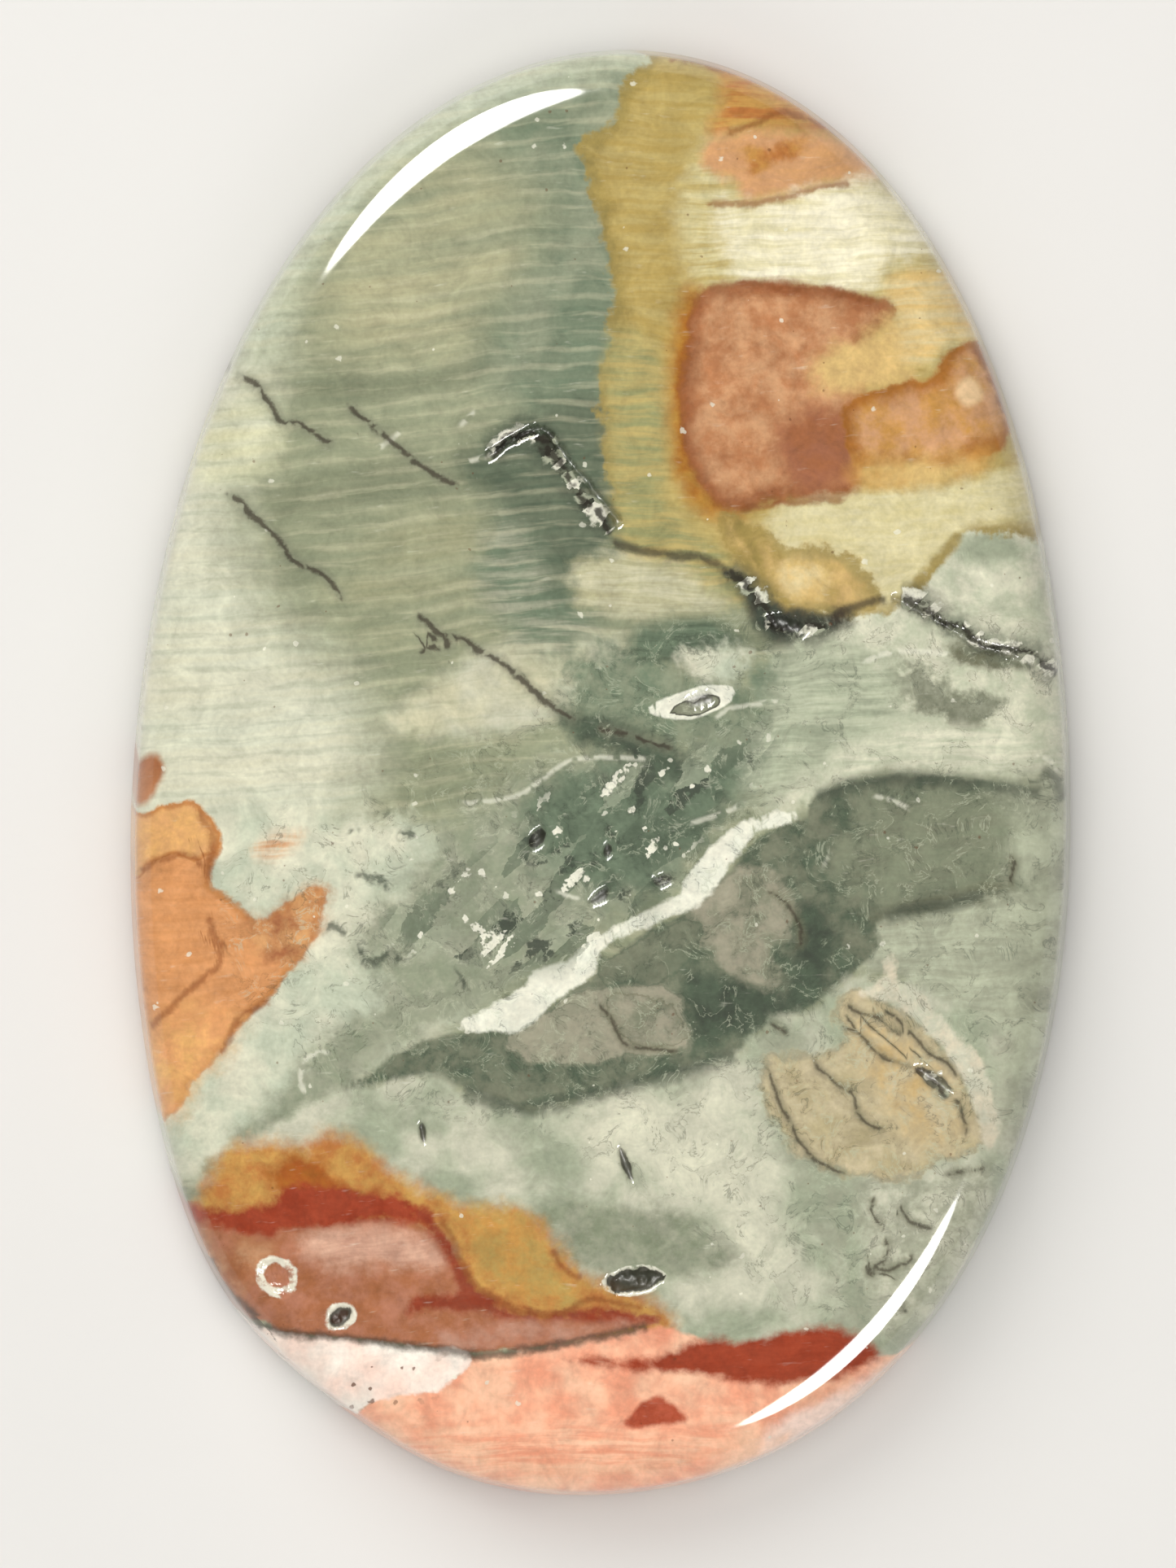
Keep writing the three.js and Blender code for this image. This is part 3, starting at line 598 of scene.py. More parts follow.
        (-11.5, -26.6), (-10.1, -26.1), (-8.8, -25.7), (-8.0, -25.1), (-7.1, -24.9), (-5.7, -24.5),
        (-4.8, -24.0), *SALMON_TOP, (2.9, -21.9), (4.4, -22.2), (6.1, -22.8), (8.3, -22.2), (10.0, -22.2),
        (11.9, -22.8), (13.6, -22.7), (19.2, -23.8), (13.0, -33.8), (-8.2, -34.6),
    ]),
    Zone("white_low", "chalk", "pale_pink", "clouds", soft=0.1, wobble=0.35, outline=[
        (-16.1, -21.7), (-14.0, -22.3), (-12.7, -22.6), *MAUVE_FOOT, (-4.3, -23.3), (-4.7, -24.1),
        (-5.7, -24.8), (-7.1, -25.1), (-8.1, -25.3), (-8.7, -25.9), (-9.2, -26.5), (-10.3, -27.0),
        (-12.6, -27.6), (-16.4, -24.5),
    ]),
    Zone("salmon_pale", "salmon_pale", "salmon", "streaks", soft=0.9, wobble=0.9, outline=[
        (-7.8, -27.7), (-4.9, -26.3), (-2.3, -26.3), (0.3, -25.8), (2.9, -26.3), (4.9, -25.9),
        (6.2, -25.2), (5.6, -26.7), (3.0, -27.6), (-0.3, -27.8), (-4.2, -28.1), (-6.1, -28.3),
    ]),
    Zone("brick", "brick", "maroon", "ripple", soft=0.25, wobble=0.45, outline=[
        (2.8, -23.2), (4.3, -22.5), (5.4, -22.3), (6.9, -22.3), (8.0, -22.0), (9.3, -21.7), (10.6, -21.8),
        (11.9, -22.6), (11.0, -23.4), (9.4, -23.8), (7.7, -24.0), (6.1, -23.9), (4.5, -23.7), (1.5, -23.6),
        (-0.5, -23.3),
    ]),
    Zone("brick_spot", "terracotta_red", "brick", "mottle", soft=0.14, wobble=0.25, outline=[
        (1.9, -25.9), (2.4, -25.1), (3.1, -24.7), (3.9, -25.1), (4.3, -25.6), (3.4, -25.8),
    ]),
    Zone("pink_edge", "pale_pink", "salmon_pale", "clouds", soft=0.35, wobble=0.3, outline=[
        (6.0, -28.5), (6.4, -27.2), (7.5, -25.9), (9.1, -24.9), (11.0, -23.9), (13.3, -22.8),
        (17.5, -23.2), (12.9, -30.5), (6.4, -30.8),
    ]),
    Zone("eye_rim", "fleck", "stone_white", "mottle", soft=0.05, wobble=0.1, outline=[
        (1.6, 2.5), (2.1, 2.9), (3.0, 3.3), (3.9, 3.6), (4.9, 3.6), (5.1, 3.3), (4.7, 2.8), (3.9, 2.4),
        (3.0, 2.2), (2.2, 2.3),
    ]),
    Zone("eye_middle", "pewter", "grey_sage", "mottle", soft=0.04, wobble=0.1,
         rim=("ink", 0.08, 0.85), outline=[
        (2.4, 2.5), (2.7, 2.7), (3.2, 3.0), (3.5, 2.9), (3.9, 3.2), (4.4, 3.2), (4.5, 2.9), (4.1, 2.6),
        (3.5, 2.4), (2.8, 2.4),
    ]),
)

# Thin seams of each kind, as points along them
SEAMS = {
    "crack": [
        [(-5.2, 12.3), (-4.4, 12.9), (-3.6, 13.3), (-2.9, 13.0), (-2.1, 12.0), (-1.3, 11.0),
         (-0.5, 10.1), (0.1, 9.3)],
        [(4.4, 8.4), (5.7, 7.4), (6.6, 6.2), (7.8, 6.0), (8.8, 6.3)],
        [(11.2, 7.4), (12.4, 7.2), (13.4, 6.5), (14.9, 5.8), (16.4, 5.5), (18.1, 4.5)],
    ],
    "split": [
        [(13.0, -11.3), (13.9, -12.0), (14.3, -12.6)],
    ],
    "fine": [
        [(-15.5, 15.5), (-14.3, 14.8), (-13.3, 13.5), (-12.7, 13.4), (-11.6, 12.8), (-10.8, 12.5)],
        [(-10.9, 14.3), (-9.0, 12.9), (-7.7, 11.9), (-6.5, 11.3), (-6.0, 11.4)],
        [(-15.6, 10.6), (-14.8, 10.3), (-14.4, 9.7), (-13.3, 8.9), (-12.7, 8.0), (-11.4, 7.4), (-10.4,
         6.3)],
        [(-7.7, 6.2), (-6.8, 5.3), (-5.8, 5.0), (-4.9, 4.5), (-4.3, 4.3), (-3.2, 3.4), (-2.1, 2.5),
         (-0.9, 1.9)],
        [(-7.7, 4.4), (-6.7, 4.7), (-5.8, 5.0)],
        [(-0.5, 1.8), (0.9, 1.5), (2.9, 1.0)],
    ],
    "hair": [
        [(11.3, -8.9), (12.3, -9.5), (13.2, -10.5), (14.1, -11.0), (14.6, -11.7)],
        [(9.8, -8.8), (10.5, -9.1), (11.3, -9.4), (12.4, -10.0)],
        [(8.6, -10.9), (9.6, -11.9), (10.4, -12.3), (10.6, -13.2), (11.9, -13.9)],
        [(6.9, -11.2), (7.3, -12.4), (8.0, -13.7), (8.9, -14.9), (10.4, -15.7)],
        [(6.6, -4.3), (7.6, -5.1), (8.2, -6.1), (7.8, -6.9)],
        [(0.1, -9.0), (0.8, -9.9), (1.5, -10.8), (3.6, -10.9)],
        [(6.8, -9.6), (7.4, -9.9), (7.9, -10.2)],
        [(11.5, -16.2), (11.3, -16.9), (11.7, -17.5), (12.1, -17.2)],
        [(12.4, -16.5), (12.7, -17.2), (13.4, -17.5), (14.0, -17.6)],
        [(11.9, -17.8), (12.0, -18.5), (11.8, -19.0), (11.2, -19.3), (11.7, -19.8)],
        [(11.2, -19.2), (12.1, -19.3), (12.9, -18.9), (12.8, -18.5)],
        [(12.3, -20.1), (12.7, -20.7), (13.0, -21.2)],
        [(13.9, -15.5), (14.9, -15.3), (16.0, -15.1)],
        [(16.1, -2.5), (16.5, -3.0), (16.3, -3.6), (16.6, -4.1)],
        [(9.7, -9.6), (10.7, -10.1), (11.4, -10.7), (12.1, -11.1), (13.0, -11.3)],
        [(14.4, -12.2), (14.8, -13.1), (15.0, -14.0)],
    ],
    "shade": [
        [(8.3, -0.8), (9.5, -0.2), (11.3, 0.2), (13.8, 0.2), (16.3, 0.0), (17.7, -0.2)],
        [(17.2, 0.8), (18.0, 0.3), (18.5, -0.6)],
        [(11.2, -5.5), (12.2, -5.0), (13.9, -4.7), (15.5, -4.2)],
        BODY_LINE,
    ],
    "brown": [
        [(-0.2, 9.2), (1.3, 8.8), (2.6, 8.7), (3.8, 8.6), (4.9, 7.9)],
        [(8.6, 6.3), (9.6, 6.9), (11.2, 7.4)],
        [(-12.8, -22.3), *MAUVE_FOOT, *SALMON_TOP, (2.8, -21.8)],
        [(-15.1, -19.7), (-14.4, -21.1), (-13.3, -21.9), (-12.5, -22.9)],
    ],
    "olive": [
        [(4.8, 10.4), (5.4, 9.4), (6.2, 8.2)],
        [(14.0, 10.2), (13.0, 9.0), (11.7, 7.4)],
    ],
    "dark": [
        [(-9.4, -7.1), (-9.2, -7.9), (-8.6, -7.9), (-8.3, -7.5), (-7.6, -8.1)],
        [(-5.5, -7.9), (-5.4, -8.5), (-5.0, -8.9)],
        [(-4.0, -6.4), (-3.7, -6.9)],
        [(-10.2, -3.0), (-9.7, -2.7), (-9.3, -2.7)],
        [(-9.8, -4.2), (-8.9, -4.6), (-8.1, -5.0)],
        [(-8.3, -3.0), (-7.6, -2.7), (-7.2, -2.4)],
        [(-10.9, -7.0), (-10.6, -6.6), (-9.9, -6.7), (-9.7, -6.5)],
    ],
    "rust": [
        [(-18.6, -5.0), (-17.8, -4.3), (-16.7, -3.9), (-15.9, -4.1), (-15.8, -4.6)],
        [(-17.8, -11.0), (-16.5, -9.7), (-15.3, -8.6), (-14.9, -8.0), (-15.3, -7.5)],
        [(-15.4, -6.0), (-15.2, -7.1), (-14.4, -7.4)],
        [(-14.8, -12.0), (-14.0, -10.3), (-12.6, -9.5)],
        [(-16.1, -1.9), (-15.4, -3.2), (-15.5, -4.7), (-15.8, -5.1)],
        [(4.4, 19.5), (5.6, 19.7), (6.4, 19.4), (7.4, 19.6), (9.0, 19.3), (10.3, 19.1)],
        [(3.6, 25.5), (5.0, 26.0), (6.3, 26.5), (8.4, 25.9), (9.5, 25.4)],
        [(1.3, 28.4), (2.3, 28.5), (3.1, 28.3), (4.3, 28.1)],
        [(3.0, 22.7), (5.0, 22.8), (6.4, 23.1), (7.9, 23.6), (9.2, 23.8)],
        [(-5.9, -17.8), (-5.2, -18.7), (-4.6, -20.1), (-3.5, -21.0), (-2.1, -21.5), (-0.7, -21.5),
         (0.2, -20.9), (1.2, -21.0), (2.6, -21.2)],
        [(0.1, -20.2), (-0.8, -19.7), (-1.2, -19.2), (-1.5, -18.8)],
        [(13.8, 17.6), (14.5, 17.0), (15.2, 15.6), (15.6, 14.6)],
        [(4.8, 10.6), (6.7, 10.9), (9.5, 11.3)],
    ],
    "white": [
        [(-6.2, 12.0), (-5.2, 12.3), (-4.3, 12.8)],
        [(-5.8, -1.5), (-4.5, -1.3), (-3.1, -0.9), (-1.4, 0.4), (0.3, 0.6), (1.9, 0.6)],
        [(-1.9, -4.7), (-1.0, -5.0), (-0.5, -5.0)],
        [(3.2, -2.0), (4.6, -1.5), (5.9, -0.9)],
        [(4.2, 2.2), (4.9, 2.7), (6.4, 3.0), (7.3, 3.1)],
        [(10.5, -0.5), (11.6, -0.7), (12.4, -1.1)],
        [(8.8, -3.5), (9.2, -2.7)],
        [(-10.9, -13.3), (-11.5, -12.9), (-11.4, -11.9), (-10.7, -11.5), (-10.2, -11.7)],
        [(16.9, 1.3), (17.7, 1.2), (18.2, 0.5)],
        [(-9.7, 12.3), (-9.0, 12.8), (-8.4, 13.4)],
        [(-6.4, 13.4), (-5.9, 13.8), (-5.5, 14.3)],
        [(9.9, 4.6), (10.9, 5.1), (12.2, 5.3), (13.8, 5.2)],
    ],
}

# How the seams look, in the order that they are painted: the paths followed, the tone, half the
# width, the soft edge, how far the seam wanders, its strength, how far it breaks into beads, and
# whether bright crystals stand along it
SeamLook = namedtuple(
    "SeamLook", "paths tone half_width softness reach strength broken crystals", defaults=(False,)
)
SEAM_LOOKS = (
    SeamLook("shade", "slate", 0.03, 0.5, 0.25, 0.6, 0.4),
    SeamLook("rust", "rust_dark", 0.02, 0.24, 0.3, 0.6, 0.7),
    SeamLook("olive", "olive", 0.08, 0.35, 0.25, 0.8, 0.5),
    SeamLook("brown", "umber", 0.03, 0.3, 0.3, 0.75, 0.6),
    SeamLook("white", "fleck", 0.02, 0.16, 0.12, 0.5, 0.9),
    SeamLook("crack", "slate", 0.12, 0.9, 0.7, 0.6, 0.4, crystals=True),
    SeamLook("crack", "ink", 0.06, 0.22, 0.6, 0.9, 0.9),
    SeamLook("split", "taupe", 0.1, 0.4, 0.3, 0.7, 0.4, crystals=True),
    SeamLook("split", "umber", 0.04, 0.16, 0.35, 0.8, 0.9),
    SeamLook("fine", "pewter", 0.05, 0.42, 0.3, 0.55, 0.3),
    SeamLook("fine", "umber", 0.035, 0.15, 0.35, 0.8, 0.9),
    SeamLook("hair", "olive_grey", 0.03, 0.3, 0.25, 0.5, 0.3),
    SeamLook("hair", "umber", 0.0, 0.12, 0.25, 0.7, 0.8),
    SeamLook("dark", "slate", 0.04, 0.28, 0.5, 0.75, 0.8),
)
SEAM_REACHES = {"crack": 1.9, "split": 1.2}  # how far a seam's distance is kept, 1 elsewhere
SEAM_FADE = (0.3, 0.7)  # a seam fades out between these shares of its reach
SEAM_TAPER = 0.7  # length over which a seam thins out to its end
SEAM_PRESENT = (0.05, 0.5)  # a seam starts and is full at these shares of its presence

# Where shards and small crystals crowd the stone, where fine veins run through it, and where it
# is sprinkled with dark specks
REGIONS = {
    "druse": [
        (-4.5, -3.1), (-3.2, -1.9), (-1.3, -0.2), (0.6, 0.8), (2.9, 0.6), (5.1, 1.6), (6.8, 1.9),
        (6.3, 0.2), (4.6, -1.0), (3.7, -2.8), (3.1, -4.6), (0.9, -6.5), (-1.4, -7.9), (-3.6, -8.3),
        (-5.6, -8.1), (-7.6, -7.3), (-8.6, -6.1), (-6.4, -4.5),
    ],
    "veined": [
        (-14.5, -3.0), (-9.0, -1.0), (-4.0, 2.0), (2.0, 6.0), (10.0, 6.5), (20.0, 6.0), (20.5, -10.0),
        (15.0, -21.0), (9.0, -21.5), (4.0, -18.0), (-2.0, -14.5), (-9.0, -13.5), (-14.0, -10.0),
    ],
    "speckled": [(-12.5, -22.8), (-7.0, -23.0), (-5.5, -24.5), (-8.5, -26.0), (-11.0, -25.5)],
}
REGION_EDGE = (-0.6, 0.8)  # a region starts and is full this far inside its outline

# Patterns of noise: how fine each is, its detail and roughness, the levels between which it rises
# from 0 to 1, the lengths that it is drawn out to, and how far it is twisted
NoiseLook = namedtuple(
    "NoiseLook", "scale detail roughness ends stretch distortion", defaults=(0.5, None, None, 0.0)
)
NOISES = {
    "waviness": NoiseLook(0.32, 2.0),
    "streaks": NoiseLook(1.0, 3.0, 0.6, (0.34, 0.68), (3.3, 0.34, 1.1)),
    "bands": NoiseLook(1.0, 2.0, 0.6, (0.34, 0.66), (16.0, 1.7, 3.3)),
    "clouds": NoiseLook(0.38, 3.0, 0.55, (0.36, 0.64)),
    "mottle": NoiseLook(0.9, 4.0, 0.65, (0.32, 0.68)),
    "grit": NoiseLook(4.5, 1.0, 0.6),
    "wander": NoiseLook(1.1, 4.0, 0.62),
    "beads": NoiseLook(2.2, 1.0, ends=(0.32, 0.6)),
    "strands": NoiseLook(1.0, 2.0, 0.6, (0.62, 0.76), (1.1, 0.24, 1.0)),
    "swirls": NoiseLook(0.8, 5.0, 0.62, distortion=0.9),
    "facets": NoiseLook(1.8, 1.0),
    "card": NoiseLook(60.0, 4.0),
}
WAVE_HEIGHT = 0.6  # how far the growth lines waver from side to side

# The growth lines, and the tones that they carry: tone, strength, where in the lines the tone starts
# and is full, and the same for the streaks that break it
GROWTH_WAVE = {
    "Scale": 0.45,
    "Distortion": 2.6,
    "Detail": 1.0,
    "Detail Scale": 0.3,
    "Detail Roughness": 0.6,
}
GROWTH_TONES = (
    ("straw_cream", 0.27, (0.4, 1.0), (0.0, 0.9)),
    ("lichen", 0.22, (0.5, 0.0), (1.0, 0.1)),
)
STREAK_STRENGTH = 0.1
STRAND_STRENGTH = 0.24
RIM_OUTSIDE = 0.4  # a patch's darker rim reaches outwards by this share of its width

# Shards and crystals: how their cells are drawn out and turned, how fine they are, and the tones
# that they draw, each with its strength, which draw it goes by, and where it starts and is full
SHARD_SHAPE = ((1.9, 0.65, 1.0), 52)
SHARD_SCALE = 0.9
SHARD_TONES = (("deep_teal", 0.6, 0, (0.55, 0.75)), ("moss_grey", 0.5, 0, (0.3, 0.15)))
BLOT_STRENGTH = 0.9
BLOT_ENDS = (0.5, 0.75)
CHIP_SHAPE = ((1.5, 0.75, 1.0), 25)
CHIP_SCALE = 2.0
CHIP_TONES = (
    ("ink", 0.6, 1, (0.6, 0.65)),
    ("mist", 0.8, 2, (0.7, 0.75)),
    ("fleck", 0.95, 0, (0.66, 0.7)),
)
CHIPS_NEAR = (0.42, 0.6)  # where in a seam's mask the crystals start and are full

# Scattered flecks: tone, strength, how fine their cells are, the share of cells that holds one, and
# the size
FleckLook = namedtuple("FleckLook", "tone strength scale share size")
# Flecks of the druse: its white crystals, partly painted glints of light on them
SHARD_GLINTS = FleckLook("fleck", 0.9, 1.4, 0.14, 0.45)
GLINTS = FleckLook("fleck", 0.9, 1.7, 0.14, 0.25)
PALE_DUST = FleckLook("fleck", 0.6, 0.8, 0.12, 0.08)
BROWN_DUST = FleckLook("seam_brown", 0.5, 1.6, 0.04, 0.08)
DARK_SPECKS = FleckLook("seam_brown", 0.8, 1.2, 0.5, 0.16)
FLECK_LEAST = 0.4  # the smallest fleck, as a share of the size
FLECK_RAGGED = 3.0

# The fine veins: tone, strength, and where in the swirls each lies
VEINS = (("slate", 0.42, 0.46), ("mist", 0.42, 0.54))
VEIN_ENDS = (0.02, 0.004)  # how far to its side a vein starts and is full
VEIN_GAPS = (0.2, 0.8)  # where in the mottle the veins start and are full

# The brightness of the stone over swirls and grit
SWIRL_LEVEL = 0.475
SWIRL_CONTRAST = 0.75
GRIT_CONTRAST = 0.3

# The lining of the pits, and the painted shade inside the pits and the cracks
LINING_RAGGED = 1.4  # in widths of the lining, as its ends are
LINING_ENDS = (1.15, 0.6)
LINING_GAPS = (0.0, 0.5)  # where in the mottle the lining starts and is whole
LINING_STRENGTH = 0.9
HOLLOW_SHADE_ENDS = (0.12, 0.5)  # how strong a hollow's painted shade is where the ink starts and is full
HOLLOW_SHADE_STRENGTH = 0.85

# The polish, which is lost in the pits and the crystals
STONE_IOR = 1.54
DRUSE_ROUGHNESS = 0.1
DULL_ENDS = (0.02, 0.3)  # how strong a hollow's painted shade is where the polish starts to go and is gone
HOLLOW_ROUGHNESS = 0.35
FACET_STRENGTH = 0.3
FACET_RELIEF = 0.06

# Lamps, camera and floor
LIGHT_LEVEL = 1.25  # how brightly the lamps show plain white that faces up
LAMP_COLOUR = (1.0, 0.985, 0.96)
Lamp = namedtuple("Lamp", "name azimuth zenith distance size strength seen_by")
LAMPS = (
    Lamp("fill", 0, 0, 0.7, (0.7, 0.7), "fill", "diffuse"),
    Lamp("key", 122, 50, 0.6, (0.5, 0.5), "key", "diffuse"),
    Lamp("low", -85, 62, 0.6, (0.5, 0.5), "low", "diffuse"),
    Lamp("upper_glint", 122, 51, 0.5, (0.30, 0.38), "glint", "glossy"),
    Lamp("lower_glint", -46, 46, 0.5, (0.26, 0.24), "glint", "glossy"),
)
FLOOR_SIZE = 3.0
FLOOR_GAP = 0.02 * MM
CARD_DARKER = 0.96  # the card's second tone, as a share of its colour
CARD_ROUGHNESS = 0.7
SENSOR = 36.0
CAMERA_DISTANCE = 0.45  # above the rim's widest level
FOCUS_HEIGHT = 0.7 * MM
FRAME_LENGTH = 62.85 * MM  # long side of the picture at that level
CAMERA_SHIFT = (-0.58 * MM, -0.48 * MM)
CAMERA_TURN = math.radians(2.2)
CLIP_START = 0.01


# Sizes, colours and lights that a user would change
def to_linear(channel):
    return channel / 12.92 if channel <= 0.04045 else ((channel + 0.055) / 1.055) ** 2.4


def albedo(web):
    """The colour of the stone itself, from its web colour under the lamps."""
    return [to_linear(int(web[i : i + 2], 16) / 255) / LIGHT_LEVEL for i in (0, 2, 4)]


def length_property(name, description, millimetres):
    return FloatProperty(name=name, description=description, default=millimetres * MM, unit="LENGTH")


class CabochonSizes(bpy.types.PropertyGroup):
    """The sizes of the ground and polished blank."""

    half_width: length_property("Half width", "Half the width before the rim is taken off true", 19.0)
    half_length: length_property("Half length", "Half the length before the rim is taken off true", 29.3)
    back_bevel: length_property("Back bevel", "Width and height of the small bevel round the back", 0.7)
    wall_top: length_property("Wall top", "Height of the side wall", 2.9)
    wall_lean: length_property("Wall lean", "How far the side wall leans in by its top", 0.3)
    shoulder_radius: length_property("Shoulder radius", "Radius between the wall and the crown", 2.4)
    crown_rise: length_property("Crown rise", "How far the crown stands above its own edge", 1.4)
    polish: FloatProperty(
        name="Polish", description="Roughness of the polished face", default=0.07, subtype="FACTOR"
    )


class JasperColours(bpy.types.PropertyGroup):
    """The colours of the stone's markings."""

    __annotations__ = {
        name: FloatVectorProperty(
            name=name.replace("_", " ").capitalize(),
            description=f"The stone's {name.replace('_', ' ')}",
            default=albedo(web),
            size=3,
            subtype="COLOR",
        )
        for name, web in PALETTE.items()
    }


class StageLook(bpy.types.PropertyGroup):
    """The floor, the lamps and the camera."""

    floor: FloatVectorProperty(
        name="Floor", description="Colour of the floor", default=(0.62, 0.61, 0.59), size=3, subtype="COLOR"
    )
    world: FloatProperty(name="World", description="Brightness all round", default=0.3)
    fill: FloatProperty(name="Fill", description="Brightness of the lamp overhead", default=2.45)
    key: FloatProperty(name="Key", description="Brightness of the soft lamp at the side", default=4.0)
    low: FloatProperty(name="Low", description="Brightness of the lamp at the lower end", default=2.2)
    glint: FloatProperty(name="Glint", description="Brightness of the lamps seen in the rim", default=24.0)


# The blank: turned round, then laid along the oval
def shoulder_arc(sizes):
    """Points of the shoulder as inset from the rim and height, in metres."""
    start_sine, start_cosine = math.sin(SHOULDER_START), math.cos(SHOULDER_START)
    arc = []
    for step in range(SHOULDER_STEPS + 1):
        slope = SHOULDER_START + (SHOULDER_END - SHOULDER_START) * step / SHOULDER_STEPS
        inset = sizes.wall_lean + sizes.shoulder_radius * (start_sine - math.sin(slope))
        height = sizes.wall_top + sizes.shoulder_radius * (math.cos(slope) - start_cosine)
        arc.append((inset, height))
    return arc


def wall_rings(sizes):
    """The rings from the flat back up to the crown's edge, as inset from the rim and height."""
    support = EDGE_SUPPORT * MM
    bevel = sizes.back_bevel
    return [
        (bevel + 2 * support, 0),
        (bevel, 0),
        (bevel / 2, bevel / 2),
        (0, bevel),
        (sizes.wall_lean * LOW_LEAN, bevel + support),
        (sizes.wall_lean / 2, (sizes.wall_top + bevel) / 2),
        *shoulder_arc(sizes),
    ]


def select_nothing():
    bpy.ops.object.select_all(action="DESELECT")


def turn_blank(sizes):
    """A round blank of the section, with a grid of faces across its back and its crown."""
    rings = wall_rings(sizes)
    inset, height = rings[0]
    radius = sizes.half_width - inset
    select_nothing()
    bpy.ops.mesh.primitive_circle_add(vertices=RIM_SIDES, radius=radius, location=(0, 0, height))
    stone = bpy.context.object
    stone.name = stone.data.name = "jasper_stone"
    bpy.ops.object.mode_set(mode="EDIT")
    bpy.ops.mesh.select_mode(type="EDGE")
    bpy.ops.mesh.select_all(action="SELECT")
    for inset, top in rings[1:]:
        narrowing = (sizes.half_width - inset) / radius
        bpy.ops.mesh.extrude_edges_move(TRANSFORM_OT_translate={"value": (0, 0, top - height)})
        bpy.ops.transform.resize(value=(narrowing, narrowing, 1), center_override=(0, 0, 0))
        radius, height = sizes.half_width - inset, top
    bpy.ops.mesh.fill_grid(span=RIM_SIDES // 4)
    bpy.ops.mesh.select_all(action="DESELECT")
    bpy.ops.mesh.select_non_manifold()
    bpy.ops.mesh.fill_grid(span=RIM_SIDES // 4)
    bpy.ops.mesh.select_all(action="SELECT")
    bpy.ops.mesh.normals_make_consistent(inside=False)
    bpy.ops.object.mode_set(mode="OBJECT")
    return stone


def read_places(elements, field="co"):
    """Where the vertices or faces of a mesh are, in millimetres."""
    places = np.empty(len(elements) * 3)
    elements.foreach_get(field, places)
    return places.reshape(-1, 3) / MM


def write_places(mesh, places):
    mesh.vertices.foreach_set("co", (places * MM).ravel())
    mesh.update()


def smooth_step(low, high, value):
    share = np.clip((value - low) / (high - low), 0, 1)
    return share * share * (3 - 2 * share)


def dome_crown(stone, sizes):
    """Raise the faces inside the shoulder into the low crown."""
    crown_inset, crown_height = (value / MM for value in shoulder_arc(sizes)[-1])
    crown_radius = sizes.half_width / MM - crown_inset
    places = read_places(stone.data.vertices)
    share = np.hypot(places[:, 0], places[:, 1]) / crown_radius
    inner = (share < JUST_INSIDE) & (places[:, 2] > sizes.wall_top / MM)
    places[inner, 2] = crown_height + sizes.crown_rise / MM * (1 - share[inner] ** CROWN_POWER)
    write_places(stone.data, places)


def smooth_blank(stone):
    bpy.ops.object.modifier_add(type="SUBSURF")
    smoothing = stone.modifiers[-1]
    smoothing.levels = smoothing.render_levels = SMOOTH_LEVELS
    bpy.ops.object.modifier_apply(modifier=smoothing.name)


def rim_point(angle, sizes):
    """A point of the rim at an angle round the oval, in millimetres."""
    from_knee = (angle - KNEE_ANGLE + math.pi) % (2 * math.pi) - math.pi
    knee = from_knee / KNEE_SPREAD
    reach = (
        1
        - EGG * np.sin(3 * angle)
        - SQUARE * np.cos(4 * angle)
        - SKEW * np.sin(4 * angle)
        - KNEE * knee * np.exp(-knee * knee)
    )
    across = sizes.half_width / MM * reach * np.cos(angle)
    along = sizes.half_length / MM * reach * np.sin(angle)
    return np.stack([across, along], axis=-1)


def lay_on_oval(places, sizes):
    """Rings within the shoulder keep their distance from the rim, and the rest shrink evenly."""
    crown_inset = shoulder_arc(sizes)[-1][0] / MM
    round_rim = sizes.half_width / MM
    radius = np.hypot(places[:, 0], places[:, 1])
    angle = np.arctan2(places[:, 1], places[:, 0])
    inset = np.clip(round_rim - radius, 0, crown_inset)
    share = np.minimum(radius / (round_rim - crown_inset), 1)
    along = rim_point(angle + SMALL_TURN, sizes) - rim_point(angle - SMALL_TURN, sizes)
    along /= np.linalg.norm(along, axis=1)[:, None]
    inward = np.stack([-along[:, 1], along[:, 0]], axis=-1)
    laid = places.copy()
    laid[:, :2] = (rim_point(angle, sizes) + inward * inset[:, None]) * share[:, None]
    return laid


class OvalFit:
    """Lays blank places on the oval, and fits the whole to the model's box."""

    def __init__(self, blank_places, sizes):
        self.sizes = sizes
        laid = lay_on_oval(blank_places, sizes)
        self.low, high = laid.min(axis=0), laid.max(axis=0)
        self.frame_low = np.array(CAD_LOW) / MM
        self.scale = (np.array(CAD_HIGH) / MM - self.frame_low) / (high - self.low)

    def __call__(self, blank_places):
        return (lay_on_oval(blank_places, self.sizes) - self.low) * self.scale + self.frame_low


# Curves, and distances to them
def smooth_curve(points, closed):
    """A smooth curve through the points."""
    here = np.array(points, dtype=float)
    if not closed:
        here = np.vstack([2 * here[0] - here[1], here, 2 * here[-1] - here[-2]])
    before, after, beyond = np.roll(here, 1, 0), np.roll(here, -1, 0), np.roll(here, -2, 0)
    t = (np.arange(CURVE_STEPS) / CURVE_STEPS)[None, :, None]
    here, before, after, beyond = (group[:, None, :] for group in (here, before, after, beyond))
    curve = 0.5 * (
        2 * here
        + (after - before) * t
        + (2 * before - 5 * here + 4 * after - beyond) * t**2
        + (3 * here - before - 3 * after + beyond) * t**3
    )
    if closed:
        flat = curve.reshape(-1, 2)
        return np.vstack([flat, flat[:1]])
    return np.vstack([curve[1:-2].reshape(-1, 2), points[-1]])


Nearest = namedtuple("Nearest", "distance side run")


